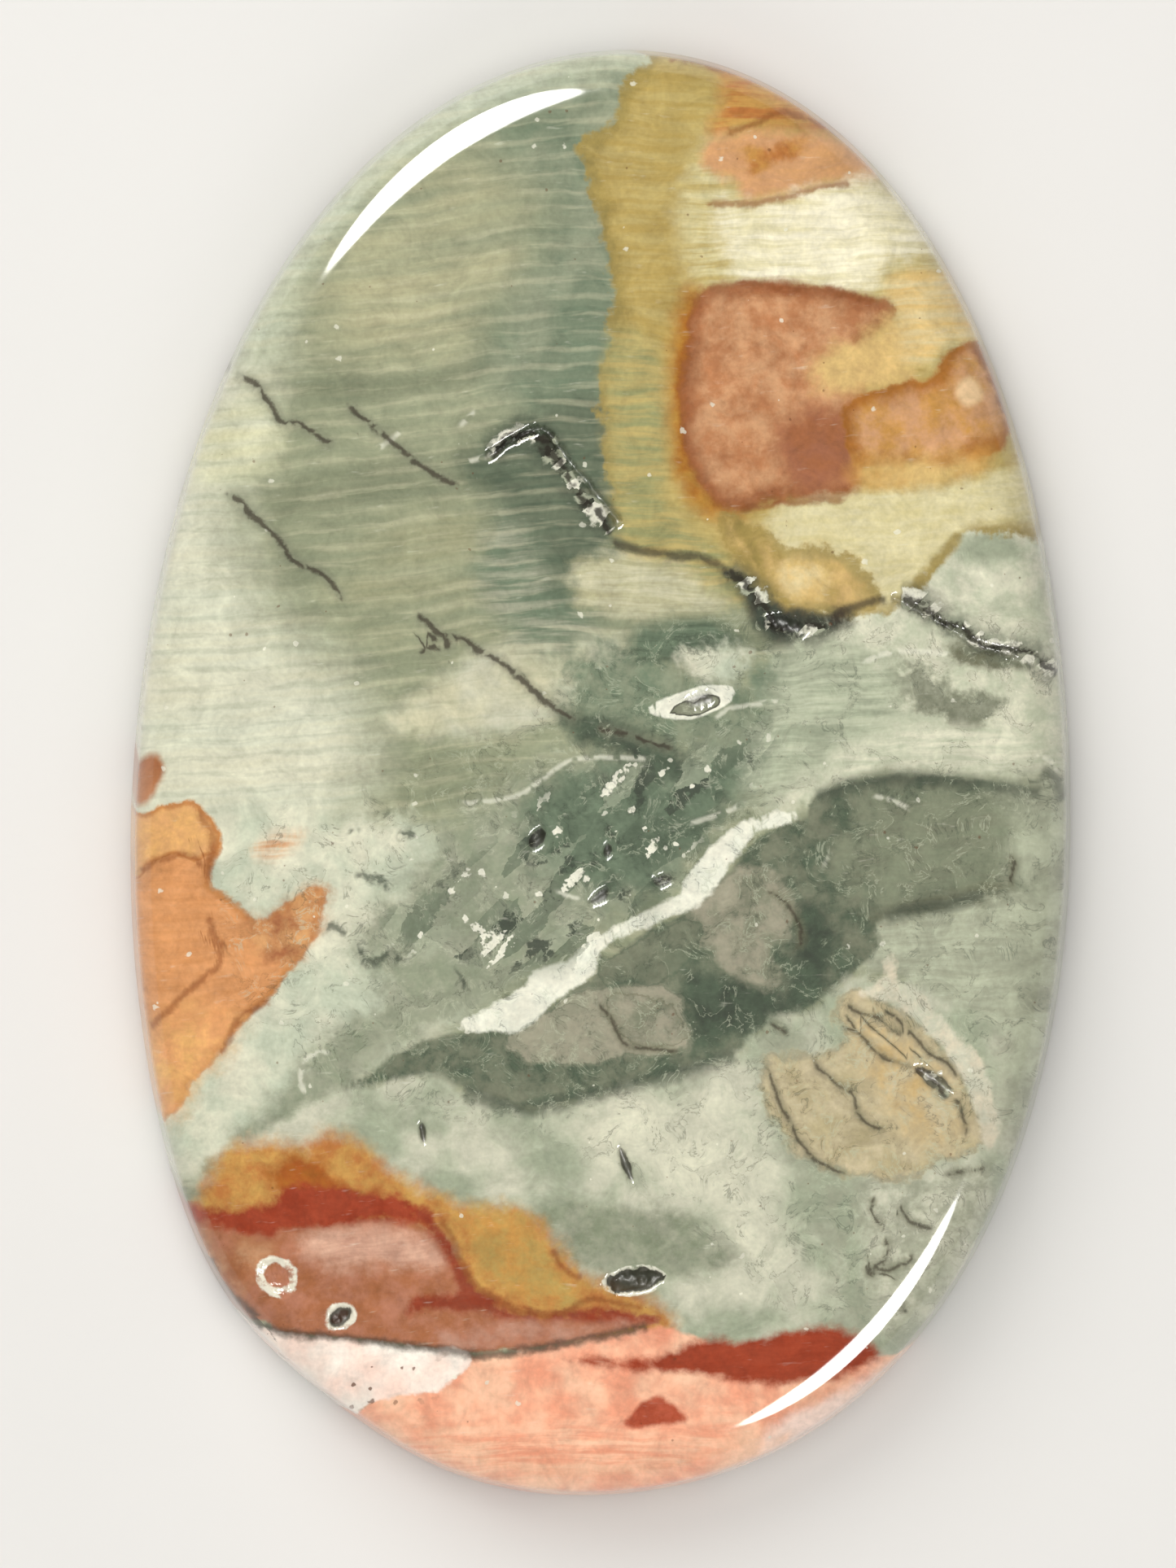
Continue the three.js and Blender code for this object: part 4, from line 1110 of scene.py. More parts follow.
def nearest_on(path, points):
    """Each point's distance to a path, the side it lies on, and how far along the nearest spot is."""
    distance = np.full(len(points), np.inf)
    side = np.ones(len(points))
    run = np.zeros(len(points))
    travelled = 0.0
    for start, end in zip(path[:-1], path[1:]):
        step = end - start
        length = math.hypot(*step)
        offset = points - start
        along = np.clip(offset @ step / length**2, 0, 1)
        gap = np.hypot(*(offset - along[:, None] * step).T)
        closer = gap < distance
        distance[closer] = gap[closer]
        turn = step[0] * offset[closer, 1] - step[1] * offset[closer, 0]
        side[closer] = np.where(turn < 0, -1, 1)
        run[closer] = travelled + along[closer] * length
        travelled += length
    return Nearest(distance, side, run)


def is_inside(path, points):
    inside = np.zeros(len(points), dtype=bool)
    x, y = points.T
    for (start_x, start_y), (end_x, end_y) in zip(path[:-1], path[1:]):
        if start_y != end_y:
            passes = (start_y > y) != (end_y > y)
            crossing = start_x + (y - start_y) * (end_x - start_x) / (end_y - start_y)
            inside ^= passes & (x < crossing)
    return inside


def box_test(path, points, margin):
    """Which points are within the path's own box, widened by a margin."""
    return np.all((points > path.min(axis=0) - margin) & (points < path.max(axis=0) + margin), axis=1)


def outline_distance(outline, points):
    """Distance to a closed outline, below zero inside it."""
    path = smooth_curve(outline, closed=True)
    result = np.full(len(points), FAR)
    near = box_test(path, points, FAR)
    distance = nearest_on(path, points[near]).distance
    distance[is_inside(path, points[near])] *= -1
    result[near] = np.minimum(distance, FAR)
    return result


def seam_field(paths, points, reach):
    """For thin lines: the signed distance and how present the line is, with a zero to make three."""
    signed = np.full(len(points), reach)
    presence = np.zeros(len(points))
    for path_points in paths:
        path = smooth_curve(path_points, closed=False)
        near = np.flatnonzero(box_test(path, points, reach))
        found = nearest_on(path, points[near])
        length = np.hypot(*np.diff(path, axis=0).T).sum()
        strength = smooth_step(0, SEAM_TAPER, np.minimum(found.run, length - found.run))
        strength *= 1 - smooth_step(*(share * reach for share in SEAM_FADE), found.distance)
        closer = found.distance < np.abs(signed[near])
        chosen = near[closer]
        signed[chosen] = (found.distance * found.side)[closer]
        presence[chosen] = strength[closer]
    return np.stack([signed, presence, np.zeros(len(points))], axis=-1)


# Pits and cracks
def pit_share(pit, points):
    """How far each point is from a pit's middle, as a share of the way to its rim."""
    turn = math.radians(pit.turn)
    offset = points - np.array([pit.x, pit.y])
    along = offset[:, 0] * math.cos(turn) + offset[:, 1] * math.sin(turn)
    across = offset[:, 1] * math.cos(turn) - offset[:, 0] * math.sin(turn)
    return np.hypot(along / (pit.length / 2), across / (pit.width / 2))


def pit_distance(pit, points):
    """Roughly how far each point is outside a pit's rim."""
    share = np.maximum(pit_share(pit, points), LEAST_SHARE)
    return np.hypot(points[:, 0] - pit.x, points[:, 1] - pit.y) * (1 - 1 / share)


def roughness_at(points, scale, seed):
    """A value from about -1 to 1 that wanders over the face."""
    return np.array([noise.fractal(Vector((x * scale, y * scale, seed)), *FRACTAL) for x, y in points])


def crystals_at(points, scale, seed):
    """Small blocky steps, from 0 to 1, as crystals make on the floor of a hollow."""
    return np.array([noise.cell(Vector((x * scale, y * scale, seed))) / 2 + 0.5 for x, y in points])


def nearest_hollow(points):
    """Each point's distance outside the nearest pit or crack."""
    distance = np.full(len(points), FAR)
    for pit in PITS:
        distance = np.minimum(distance, pit_distance(pit, points))
    for crack in CRACKS:
        path = np.array(crack.points)
        near = box_test(path, points, FAR)
        found = nearest_on(path, points[near]).distance - crack.width / 2
        distance[near] = np.minimum(distance[near], found)
    return distance


def refine(stone, chosen, cuts):
    """Cut the chosen faces finer."""
    bpy.ops.object.mode_set(mode="EDIT")
    bpy.ops.mesh.select_mode(type="FACE")
    bpy.ops.mesh.select_all(action="DESELECT")
    shape = bmesh.from_edit_mesh(stone.data)
    for face, is_chosen in zip(shape.faces, chosen):
        if is_chosen:
            face.select_set(True)
    bmesh.update_edit_mesh(stone.data)
    bpy.ops.mesh.subdivide(number_cuts=cuts)
    bpy.ops.object.mode_set(mode="OBJECT")


def refine_hollows(stone, fit, sizes):
    """Finer faces round the pits and the cracks."""
    middles = fit(read_places(stone.data.polygons, "center"))
    on_top = middles[:, 2] > sizes.wall_top / MM
    near = nearest_hollow(middles[:, :2]) < HOLLOW_MARGIN
    refine(stone, on_top & near, HOLLOW_CUTS)


def hollow_depth(share, points, seed):
    """The depth of a hollow as a share of its full depth, with a ragged rim and a crystalline floor."""
    ragged = share * (1 + MOUTH_RAGGED * roughness_at(points, MOUTH_SCALE, seed))
    bowl = np.sqrt(np.clip(1 - ragged**2, 0, 1))
    return bowl * (1 - FLOOR_STEPS + FLOOR_STEPS * crystals_at(points, FLOOR_STEP_SCALE, seed))


class Carving:
    """How deep each place of the face is sunk, and the painted shade that darkens it there."""

    def __init__(self, places):
        self.depth = np.zeros(len(places))
        self.hollow_shade = np.zeros(len(places))

    # Painted shade in a hollow, stronger where it is deeper
    def sink(self, near, depth, dark):
        self.depth[near] = np.maximum(self.depth[near], depth)
        self.hollow_shade[near] = np.maximum(self.hollow_shade[near], depth / HOLLOW_SHADE_DEPTH * dark)


def carve(places, sizes):
    """Sink the pits and the cracks into the face; returns the painted shade of each place of them, darker
    with depth.
    """
    ground = places[:, :2]
    on_top = places[:, 2] > sizes.wall_top / MM
    carving = Carving(places)
    for number, pit in enumerate(PITS):
        share = pit_share(pit, ground)
        near = np.flatnonzero(on_top & (share < PIT_REACH))
        depth = pit.depth * hollow_depth(share[near], ground[near], number * PIT_SEED)
        carving.sink(near, depth, pit.dark)
    for number, crack in enumerate(CRACKS):
        path = smooth_curve(crack.points, closed=False)
        near = np.flatnonzero(on_top & box_test(path, ground, crack.width))
        found = nearest_on(path, ground[near])
        beads = BEAD_WIDTH + BEAD_CHANGE * roughness_at(ground[near], BEAD_SCALE, BEAD_SEED + number)
        share = found.distance / (crack.width / 2 * np.maximum(beads, BEAD_LEAST))
        depth = crack.depth * hollow_depth(share, ground[near], CRACK_SEED + number)
        carving.sink(near, depth, CRACK_SHADE_STRENGTH)
    places[:, 2] -= carving.depth
    return np.clip(carving.hollow_shade, 0, 1)


# What the material reads from the mesh
def store(mesh, name, values):
    kind, field = ("FLOAT", "value") if values.ndim == 1 else ("FLOAT_VECTOR", "vector")
    mesh.attributes.new(name, kind, "POINT").data.foreach_set(field, values.astype(np.float32).ravel())


def growth_height(x):
    """How high a growth line runs at each x."""
    return GRAIN_RISE * x + GRAIN_HUMP * np.exp(-(((x - HUMP_PLACE) / HUMP_SPREAD) ** 2))


def lining_distance(points):
    """Distance to the nearest lined mouth of a pit, in widths of its lining."""
    distance = np.full(len(points), FAR)
    for pit in PITS:
        if pit.lining:
            distance = np.minimum(distance, np.abs(pit_distance(pit, points)) / pit.lining)
    return distance


def mark(mesh, places, hollow_shade, sizes):
    """Write where each marking lies, with the markings running on through the stone's depth."""
    below = np.maximum(sizes.wall_top / MM - places[:, 2], 0)
    ground = places[:, :2] + below[:, None] * np.array(LEAN)
    across = ground[:, 1] - growth_height(ground[:, 0])
    store(mesh, "place", np.column_stack([ground, below]))
    store(mesh, "grain", np.column_stack([ground[:, 0], across, below]))
    distances = [outline_distance(patch.outline, ground) for patch in TINTS + ZONES]
    for start in range(0, len(distances), 3):
        three = (distances[start : start + 3] + distances[-1:] * 2)[:3]
        store(mesh, f"patches_{start // 3}", np.column_stack(three))
    for name, outline in REGIONS.items():
        store(mesh, name, smooth_step(*REGION_EDGE, -outline_distance(outline, ground)))
    for style, paths in SEAMS.items():
        store(mesh, f"seams_{style}", seam_field(paths, ground, SEAM_REACHES.get(style, 1.0)))
    store(mesh, "lining", lining_distance(places[:, :2]) + below * FAR)
    # The painted shade of the pits and the cracks, darker with their depth
    store(mesh, "hollow", hollow_shade)


# Nodes
class Nodes:
    """Adds nodes to a shader tree; an input is given a value or another node's output."""

    def __init__(self, tree):
        self.tree = tree

    def put(self, kind, inputs=(), **settings):
        """Add a node."""
        node = self.tree.nodes.new(f"ShaderNode{kind}")
        for name, value in settings.items():
            setattr(node, name, value)
        for key, value in dict(inputs).items():
            if isinstance(value, bpy.types.NodeSocket):
                self.tree.links.new(value, node.inputs[key])
            else:
                node.inputs[key].default_value = value
        return node

    def calc(self, operation, *values):
        return self.put("Math", enumerate(values), operation=operation).outputs[0]

    def add_vectors(self, *vectors):
        return self.put("VectorMath", enumerate(vectors), operation="ADD").outputs[0]

    def fade(self, value, start, end):
        """0 before start and 1 past end, with an eased way between; start may be the higher one."""
        inputs = {"Value": value, "From Min": start, "From Max": end}
        return self.put("MapRange", inputs, interpolation_type="SMOOTHSTEP", clamp=False).outputs[0]

    def mix(self, factor, below, above):
        """One colour over another."""
        return self.put("Mix", {0: factor, 6: below, 7: above}, data_type="RGBA").outputs[2]

    def split(self, colour):
        """The three numbers that a colour carries."""
        return self.put("SeparateColor", {"Color": colour}).outputs

    def attribute(self, name, output="Fac"):
        return self.put("Attribute", attribute_name=name).outputs[output]

    def stretched(self, vector, lengths, turn=0.0):
        """Coordinates in which a feature is drawn out by these lengths, turned from +X in degrees."""
        inputs = {"Vector": vector, "Scale": lengths, "Rotation": (0, 0, math.radians(turn))}
        return self.put("Mapping", inputs, vector_type="TEXTURE").outputs[0]

    def noise(self, look, vector):
        """A noise pattern, from 0 to 1."""
        if look.stretch:
            vector = self.stretched(vector, look.stretch)
        inputs = {"Scale": look.scale, "Detail": look.detail, "Roughness": look.roughness}
        inputs |= {"Vector": vector, "Distortion": look.distortion}
        value = self.put("TexNoise", inputs).outputs["Fac"]
        return self.fade(value, *look.ends) if look.ends else value

    def cells(self, vector, scale):
        """Cells round scattered points, with the distances to them and a colour drawn for each."""
        return self.put("TexVoronoi", {"Vector": vector, "Scale": scale}, voronoi_dimensions="2D").outputs


class Group(Nodes):
    """A shader node group, with its named inputs and outputs listed by kind."""

    def __init__(self, name, inputs, outputs):
        super().__init__(bpy.data.node_groups.new(name, "ShaderNodeTree"))
        for direction, kinds in (("INPUT", inputs), ("OUTPUT", outputs)):
            for kind, labels in kinds.items():
                for label in labels:
                    socket = {"in_out": direction, "socket_type": f"NodeSocket{kind}"}
                    self.tree.interface.new_socket(label, **socket)
        self.given = self.tree.nodes.new("NodeGroupInput").outputs
        self.output = self.tree.nodes.new("NodeGroupOutput")

    def finish(self, **results):
        for label, socket in results.items():
            self.tree.links.new(socket, self.output.inputs[label])
        return self.tree


def patch_group():
    """A patch of two tones with a wandering edge."""
    numbers = ("Distance", "Wander", "Pattern", "Reach", "Softness")
    inputs = {"Color": ("Below", "Tone", "Second Tone"), "Float": numbers}
    group = Group("Stone patch", inputs, {"Color": ("Colour",), "Float": ("Edge",)})
    given = group.given
    edge = group.calc("MULTIPLY_ADD", given["Wander"], given["Reach"], given["Distance"])
    mask = group.fade(edge, given["Softness"], group.calc("MULTIPLY", given["Softness"], -1.0))
    tone = group.mix(given["Pattern"], given["Tone"], given["Second Tone"])
    return group.finish(Colour=group.mix(mask, given["Below"], tone), Edge=edge)


def rim_group():
    """A darker band just inside the edge of a patch."""
    inputs = {"Color": ("Below", "Tone"), "Float": ("Edge", "Width", "Strength")}
    group = Group("Patch rim", inputs, {"Color": ("Colour",)})
    given = group.given
    inner = group.fade(given["Edge"], group.calc("MULTIPLY", given["Width"], -1.0), 0.0)
    outer = group.fade(given["Edge"], group.calc("MULTIPLY", given["Width"], RIM_OUTSIDE), 0.0)
    strength = group.calc("MULTIPLY", group.calc("MULTIPLY", inner, outer), given["Strength"])
    return group.finish(Colour=group.mix(strength, given["Below"], given["Tone"]))


def seam_group():
    """A thin beaded line."""
    numbers = ("Wander", "Beads", "Half Width", "Softness", "Reach", "Strength")
    inputs = {"Color": ("Below", "Field", "Tone"), "Float": numbers}
    group = Group("Stone seam", inputs, {"Color": ("Colour",), "Float": ("Mask",)})
    given = group.given
    signed, presence = group.split(given["Field"])[:2]
    distance = group.calc("ABSOLUTE", group.calc("MULTIPLY_ADD", given["Wander"], given["Reach"], signed))
    presence = group.calc("MULTIPLY", presence, given["Beads"])
    half_width = group.calc("MULTIPLY", given["Half Width"], presence)
    line = group.fade(distance, group.calc("ADD", half_width, given["Softness"]), half_width)
    present = group.calc("MULTIPLY", group.fade(presence, *SEAM_PRESENT), given["Strength"])
    mask = group.calc("MULTIPLY", line, present)
    return group.finish(Colour=group.mix(mask, given["Below"], given["Tone"]), Mask=mask)


def fleck_group():
    """Scattered small ragged flecks, sparse or dense by a share of the cells."""
    inputs = {"Vector": ("Vector",), "Float": ("Grit", "Scale", "Share", "Size")}
    group = Group("Flecks", inputs, {"Float": ("Mask",)})
    given = group.given
    cells = group.cells(given["Vector"], given["Scale"])
    draw = group.split(cells["Color"])
    chosen = group.calc("LESS_THAN", draw[0], given["Share"])
    size = group.calc("MULTIPLY", given["Size"], group.calc("ADD", draw[1], FLECK_LEAST))
    ragged = group.calc("MULTIPLY_ADD", given["Grit"], FLECK_RAGGED, -FLECK_RAGGED / 2)
    distance = group.calc("MULTIPLY_ADD", ragged, size, cells["Distance"])
    spot = group.fade(distance, size, group.calc("MULTIPLY", size, 0.5))
    return group.finish(Mask=group.calc("MULTIPLY", spot, chosen))


def pattern_group():
    """The stone's shared patterns, each from 0 to 1, and the wander of its edges about 0."""
    numbers = ("streaks", "bands", "clouds", "mottle", "ripple", "grit", "lines", "wander")
    outputs = {"Float": numbers, "Vector": ("place",)}
    group = Group("Jasper patterns", {"Vector": ("Grain", "Place")}, outputs)
    waviness = group.noise(NOISES["waviness"], group.given["Place"])
    rise = group.calc("MULTIPLY_ADD", waviness, WAVE_HEIGHT, -WAVE_HEIGHT / 2)
    shift = group.put("CombineXYZ", {"Y": rise}).outputs[0]
    grain = group.add_vectors(group.given["Grain"], shift)
    place = group.add_vectors(group.given["Place"], shift)
    streaks = group.noise(NOISES["streaks"], grain)
    mottle = group.noise(NOISES["mottle"], place)
    wave = group.put("TexWave", {"Vector": grain} | GROWTH_WAVE, bands_direction="Y")
    return group.finish(
        streaks=streaks,
        bands=group.noise(NOISES["bands"], grain),
        clouds=group.noise(NOISES["clouds"], place),
        mottle=mottle,
        ripple=group.calc("MULTIPLY", group.calc("ADD", streaks, mottle), 0.5),
        grit=group.noise(NOISES["grit"], place),
        lines=wave.outputs["Fac"],
        wander=group.calc("MULTIPLY_ADD", group.noise(NOISES["wander"], place), 2.0, -1.0),
        place=place,
    )


# The jasper, layer on layer
class JasperPainter(Nodes):
    """Builds the stone's colour node by node, each layer over the one before."""

    def __init__(self, tree, colours):
        super().__init__(tree)
        self.colours = colours
        self.place = self.attribute("place", "Vector")
        self.grain = self.attribute("grain", "Vector")
        self.groups = {
            "patterns": pattern_group(),
            "patch": patch_group(),
            "rim": rim_group(),
            "seam": seam_group(),
            "fleck": fleck_group(),
        }
        self.patterns = self.use("patterns", grain=self.grain, place=self.place)
        self.colour = self.mix(self.patterns["bands"], self.tone("sage"), self.tone("khaki"))
        self.crumpled = self.crumpled_place()
        self.patch_count = 0

    def use(self, name, label="", **inputs):
        """Place one of the node groups, and return its outputs."""
        inputs = {key.replace("_", " ").title(): value for key, value in inputs.items()}
        return self.put("Group", inputs, node_tree=self.groups[name], label=label).outputs

    def crumpled_place(self):
        """Coordinates pushed to and fro, for what is broken and crystalline."""
        wander = self.patterns["wander"]
        push = self.put("CombineXYZ", {"X": wander, "Y": wander}).outputs[0]
        return self.add_vectors(self.patterns["place"], push)

    def tone(self, name):
        return (*getattr(self.colours, name), 1.0)

    def patch_distance(self):
        """The next patch's distance: the mesh holds three of them in each attribute."""
        number, which = divmod(self.patch_count, 3)
        self.patch_count += 1
        if which == 0:
            self.three_distances = self.split(self.attribute(f"patches_{number}", "Color"))
        return self.three_distances[which]

    def patch(self, patch):
        painted = self.use(
            "patch",
            label=patch.name,
            below=self.colour,
            distance=self.patch_distance(),
            wander=self.patterns["wander"],
            pattern=self.patterns[patch.pattern],
            tone=self.tone(patch.tone),
            second_tone=self.tone(patch.second),
            reach=patch.wobble,
            softness=patch.soft,
        )
        self.colour = painted["Colour"]
        if patch.rim:
            name, width, strength = patch.rim
            rim = {"tone": self.tone(name), "width": width, "strength": strength}
            self.colour = self.use("rim", below=self.colour, edge=painted["Edge"], **rim)["Colour"]

    def shade(self, tone, strength, *masks):
        """Lay a tone over all, where the masks meet."""
        for mask in masks:
            strength = self.calc("MULTIPLY", strength, mask)
        self.colour = self.mix(strength, self.colour, self.tone(tone))

    def growth_lines(self):
        """Soft light and dark lines along the grain, and finer broken streaks."""
        streaks, lines = self.patterns["streaks"], self.patterns["lines"]
        for tone, strength, line_ends, streak_ends in GROWTH_TONES:
            self.shade(tone, strength, self.fade(lines, *line_ends), self.fade(streaks, *streak_ends))
        self.shade("straw_cream", STREAK_STRENGTH, streaks)
        self.shade("lichen", STREAK_STRENGTH, self.calc("SUBTRACT", 1.0, streaks))

    def seam(self, look, beads):
        """Paint one seam look; beads runs from 0 in the gaps to 1."""
        painted = self.use(
            "seam",
            label=look.paths,
            below=self.colour,
            field=self.attribute(f"seams_{look.paths}", "Color"),
            wander=self.patterns["wander"],
            beads=self.calc("MULTIPLY_ADD", beads, look.broken, 1 - look.broken),
            tone=self.tone(look.tone),
            half_width=look.half_width,
            softness=look.softness,
            reach=look.reach,
            strength=look.strength,
        )
        self.colour = painted["Colour"]
        if look.crystals:
            self.crystals(painted["Mask"])

    def flecks(self, look, vector, *masks):
        spread = {"scale": look.scale, "share": look.share, "size": look.size}
        mask = self.use("fleck", vector=vector, grit=self.patterns["grit"], **spread)["Mask"]
        self.shade(look.tone, look.strength, *masks, mask)

    def broken(self, vector, scale, tones, mask):
        """Tones drawn at random for the cells of a pattern; returns the draws."""
        draws = self.split(self.cells(vector, scale)["Color"])
        for tone, strength, which, ends in tones:
            self.shade(tone, strength, mask, self.fade(draws[which], *ends))
        return draws

    def crystals(self, mask):
        """Bright angular crystals wherever the mask is."""
        leaning = self.stretched(self.crumpled, *CHIP_SHAPE)
        self.broken(leaning, CHIP_SCALE, CHIP_TONES, self.fade(mask, *CHIPS_NEAR))

    def druse(self):
        """Slanting shards, dark blots, and white crystals with painted glints in the teal middle of the
        stone.
        """
        region = self.attribute("druse")
        slanting = self.stretched(self.crumpled, *SHARD_SHAPE)
        draws = self.broken(slanting, SHARD_SCALE, SHARD_TONES, region)
        blots = self.calc("MULTIPLY", draws[1], self.patterns["mottle"])
        self.shade("slate", BLOT_STRENGTH, region, self.fade(blots, *BLOT_ENDS))
        # White flecks: the druse's crystals, partly painted glints of light on them
        self.flecks(SHARD_GLINTS, slanting, region)
        self.flecks(GLINTS, self.patterns["place"], region)
        return region

    def scattered_flecks(self):
        """Pale flecks drawn out along the grain, and small dark specks."""
        strands = self.noise(NOISES["strands"], self.grain)
        self.shade("fleck", STRAND_STRENGTH, strands, self.patterns["mottle"])
        self.flecks(PALE_DUST, self.place)
        self.flecks(BROWN_DUST, self.place)
        self.flecks(DARK_SPECKS, self.patterns["place"], self.attribute("speckled"))

    def pits(self):
        """The pale lining of some mouths, and painted shade inside every pit and crack, darker with depth.
        """
        lining = self.attribute("lining")
        ragged = self.calc("MULTIPLY_ADD", self.patterns["wander"], LINING_RAGGED, lining)
        whole = self.fade(self.patterns["mottle"], *LINING_GAPS)
        self.shade("fleck", LINING_STRENGTH, self.fade(ragged, *LINING_ENDS), whole)
        # Painted shade: ink laid in the pits and the cracks, stronger where they are deeper
        hollow = self.attribute("hollow")
        self.shade("ink", HOLLOW_SHADE_STRENGTH, self.fade(hollow, *HOLLOW_SHADE_ENDS))
        return hollow

    def grain_all_over(self):
        """Fine veins, and a slight change of brightness in soft swirls and at the finest scale."""
        swirls = self.noise(NOISES["swirls"], self.patterns["place"])
        veined = self.attribute("veined")
        thickness = self.fade(self.patterns["mottle"], *VEIN_GAPS)
        for tone, strength, level in VEINS:
            apart = self.calc("ABSOLUTE", self.calc("SUBTRACT", swirls, level))
            self.shade(tone, strength, veined, self.fade(apart, *VEIN_ENDS), thickness)
        soft = self.calc("MULTIPLY_ADD", swirls, SWIRL_CONTRAST, SWIRL_LEVEL)
        value = self.calc("MULTIPLY_ADD", self.patterns["grit"], GRIT_CONTRAST, soft)
        inputs = {"Color": self.colour, "Value": value}
        self.colour = self.put("HueSaturation", inputs).outputs["Color"]

    def surface(self, druse, hollow, polish):
        """The polished surface: duller in the pits, and slightly faceted among the crystals."""
        rough = self.calc("MULTIPLY_ADD", druse, DRUSE_ROUGHNESS, polish)
        deep = self.fade(hollow, *DULL_ENDS)
        rough = self.calc("MULTIPLY_ADD", deep, HOLLOW_ROUGHNESS, rough)
        relief = self.calc("MULTIPLY", self.noise(NOISES["facets"], self.place), druse)
        bump_inputs = {"Strength": FACET_STRENGTH, "Distance": FACET_RELIEF * MM, "Height": relief}
        bump = self.put("Bump", bump_inputs).outputs[0]
        look = {"Base Color": self.colour, "Roughness": rough, "IOR": STONE_IOR, "Normal": bump}
        return self.put("BsdfPrincipled", look).outputs[0]


def jasper_material(colours, sizes):
    """Polished jasper, painted from its soft tints up to its thin seams."""
    material = bpy.data.materials.new("polished_jasper")
    material.use_nodes = True
    material.node_tree.nodes.clear()
    painter = JasperPainter(material.node_tree, colours)
    for patch in TINTS:
        painter.patch(patch)
    painter.growth_lines()
    for patch in ZONES:
        painter.patch(patch)
    druse = painter.druse()
    painter.scattered_flecks()
    hollow = painter.pits()
    beads = painter.noise(NOISES["beads"], painter.place)
    for look in SEAM_LOOKS:
        painter.seam(look, beads)
    painter.grain_all_over()
    surface = painter.surface(druse, hollow, sizes.polish)
    painter.put("OutputMaterial", {"Surface": surface})
    return material


class CABOCHON_OT_stone(bpy.types.Operator):
    """Grind and polish the stone, and mark it"""

    bl_idname = "cabochon.stone"
    bl_label = "Add Stone"

    def execute(self, context):
        sizes = context.scene.cabochon_sizes
        stone = turn_blank(sizes)
        dome_crown(stone, sizes)
        smooth_blank(stone)
        fit = OvalFit(read_places(stone.data.vertices), sizes)
        refine_hollows(stone, fit, sizes)
        places = fit(read_places(stone.data.vertices))
        hollow_shade = carve(places, sizes)
        write_places(stone.data, places)
        mark(stone.data, places, hollow_shade, sizes)
        select_nothing()
        stone.select_set(True)
        bpy.ops.object.shade_smooth()
        stone.data.materials.append(jasper_material(context.scene.cabochon_colours, sizes))
        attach(stone, "root")
        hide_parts("cabochon")
        return {"FINISHED"}


# The stage
def floor_material(colour):
    """Plain pale card with a faint unevenness."""
    material = bpy.data.materials.new("pale_card")
    material.use_nodes = True
    nodes = Nodes(material.node_tree)
    place = nodes.put("TexCoord").outputs["Object"]
    darker = [channel * CARD_DARKER for channel in colour]
    tone = nodes.mix(nodes.noise(NOISES["card"], place), (*colour, 1.0), (*darker, 1.0))
    surface = nodes.tree.nodes["Principled BSDF"]
    nodes.tree.links.new(tone, surface.inputs["Base Color"])
    surface.inputs["Roughness"].default_value = CARD_ROUGHNESS
    return material


def aim(lamp):
    """A lamp's place on the dome over the stone, and the turn that faces the stone's middle."""
    azimuth, zenith = math.radians(lamp.azimuth), math.radians(lamp.zenith)
    reach, height = lamp.distance * math.sin(zenith), lamp.distance * math.cos(zenith)
    place = Vector((reach * math.cos(azimuth), reach * math.sin(azimuth), height))
    return place, place.to_track_quat("Z", "Y").to_euler()


def add_lamp(lamp, brightness):
    """A soft oval lamp that either lights the stone or is mirrored in it."""
    place, turn = aim(lamp)
    bpy.ops.object.light_add(type="AREA", location=place, rotation=turn)
    light = bpy.context.object
    light.name = light.data.name = lamp.name
    light.data.shape = "ELLIPSE"
    light.data.size, light.data.size_y = lamp.size
    area = math.pi / 4 * lamp.size[0] * lamp.size[1]
    light.data.energy = brightness * math.pi * area
    light.data.color = LAMP_COLOUR
    light.visible_diffuse = lamp.seen_by == "diffuse"
    light.visible_glossy = lamp.seen_by == "glossy"


def light_world(scene, brightness):
    scene.world = bpy.data.worlds.new("studio")
    scene.world.use_nodes = True
    background = scene.world.node_tree.nodes["Background"]
    background.inputs["Color"].default_value = (1, 1, 1, 1)
    background.inputs["Strength"].default_value = brightness
    scene.view_settings.view_transform = "Standard"
    scene.view_settings.look = "None"
    scene.view_settings.exposure = 0
    scene.view_settings.gamma = 1


def add_camera(scene):
    """A camera straight above the stone, as far up as the photo's view of its shoulder asks."""
    location = (*CAMERA_SHIFT, CAMERA_DISTANCE + FOCUS_HEIGHT)
    bpy.ops.object.camera_add(location=location, rotation=(0, 0, CAMERA_TURN))
    camera = bpy.context.object
    camera.name = "camera"
    camera.data.sensor_width = SENSOR
    camera.data.lens = SENSOR * CAMERA_DISTANCE / FRAME_LENGTH
    camera.data.clip_start = CLIP_START
    scene.camera = camera


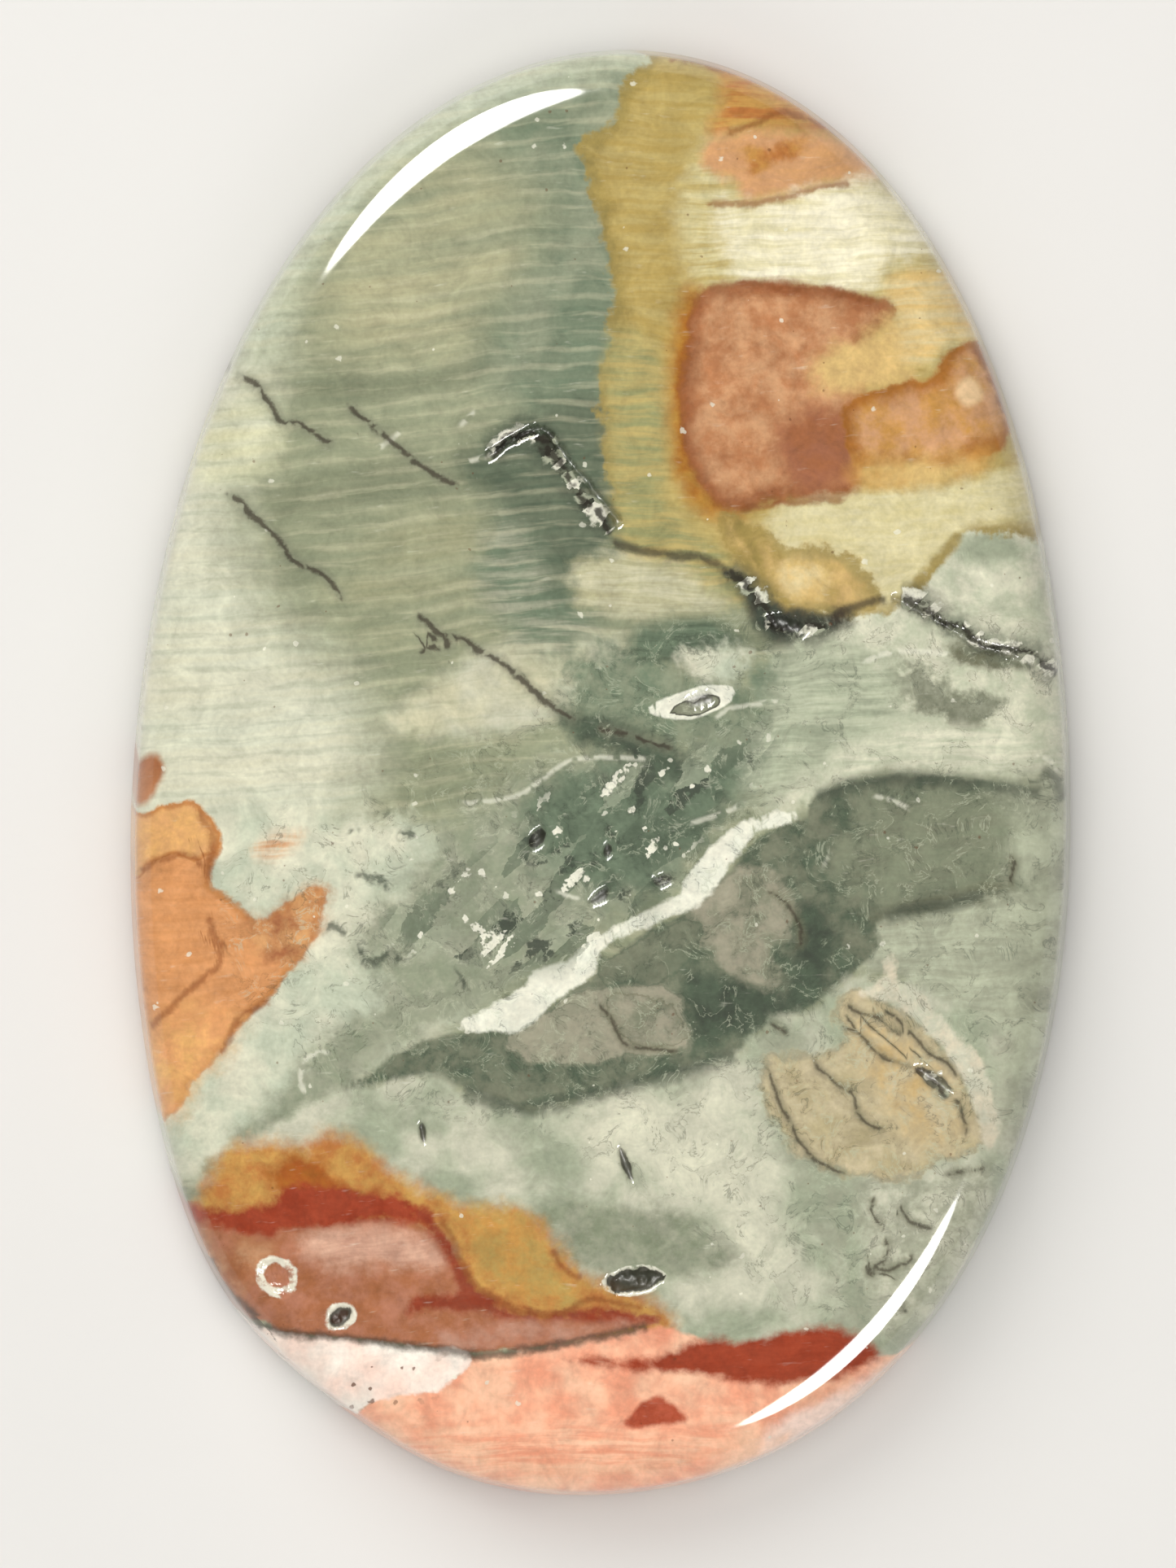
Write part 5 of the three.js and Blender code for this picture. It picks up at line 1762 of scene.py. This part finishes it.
class CABOCHON_OT_stage(bpy.types.Operator):
    """Add the floor, the lamps and the camera"""

    bl_idname = "cabochon.stage"
    bl_label = "Add Stage"

    def execute(self, context):
        look = context.scene.cabochon_stage
        select_nothing()
        bpy.ops.mesh.primitive_plane_add(size=FLOOR_SIZE, location=(0, 0, CAD_LOW[2] - FLOOR_GAP))
        floor = bpy.context.object
        floor.name = "floor"
        floor.data.materials.append(floor_material(look.floor))
        floor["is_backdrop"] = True
        for lamp in LAMPS:
            add_lamp(lamp, getattr(look, lamp.strength))
        light_world(context.scene, look.world)
        add_camera(context.scene)
        return {"FINISHED"}


class CABOCHON_PT_panel(bpy.types.Panel):
    """The stone's and the stage's buttons and values"""

    bl_label = "Cabochon"
    bl_space_type = "VIEW_3D"
    bl_region_type = "UI"
    bl_category = "Cabochon"

    def draw(self, context):
        for kind, values in (
            (CABOCHON_OT_stone, context.scene.cabochon_sizes),
            (CABOCHON_OT_stage, context.scene.cabochon_stage),
        ):
            self.layout.operator(kind.bl_idname)
            column = self.layout.column()
            for name in values.__annotations__:
                column.prop(values, name)


CLASSES = (
    CabochonSizes,
    JasperColours,
    StageLook,
    CABOCHON_OT_stone,
    CABOCHON_OT_stage,
    CABOCHON_PT_panel,
)


def register():
    for kind in CLASSES:
        bpy.utils.register_class(kind)
    bpy.types.Scene.cabochon_sizes = PointerProperty(type=CabochonSizes)
    bpy.types.Scene.cabochon_colours = PointerProperty(type=JasperColours)
    bpy.types.Scene.cabochon_stage = PointerProperty(type=StageLook)


def unregister():
    del bpy.types.Scene.cabochon_stage
    del bpy.types.Scene.cabochon_colours
    del bpy.types.Scene.cabochon_sizes
    for kind in reversed(CLASSES):
        bpy.utils.unregister_class(kind)


def write_sizes():
    """The model's box before and after the finished pieces, gathered but not kept."""
    boxes = {"cad": CAD_BOUNDS, "visual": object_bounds()}
    boxes = {name: [list(corner) for corner in box] for name, box in boxes.items()}


def main():
    register()
    bpy.ops.cabochon.stone()
    bpy.ops.cabochon.stage()
    write_sizes()


if __name__ == "__main__":
    main()
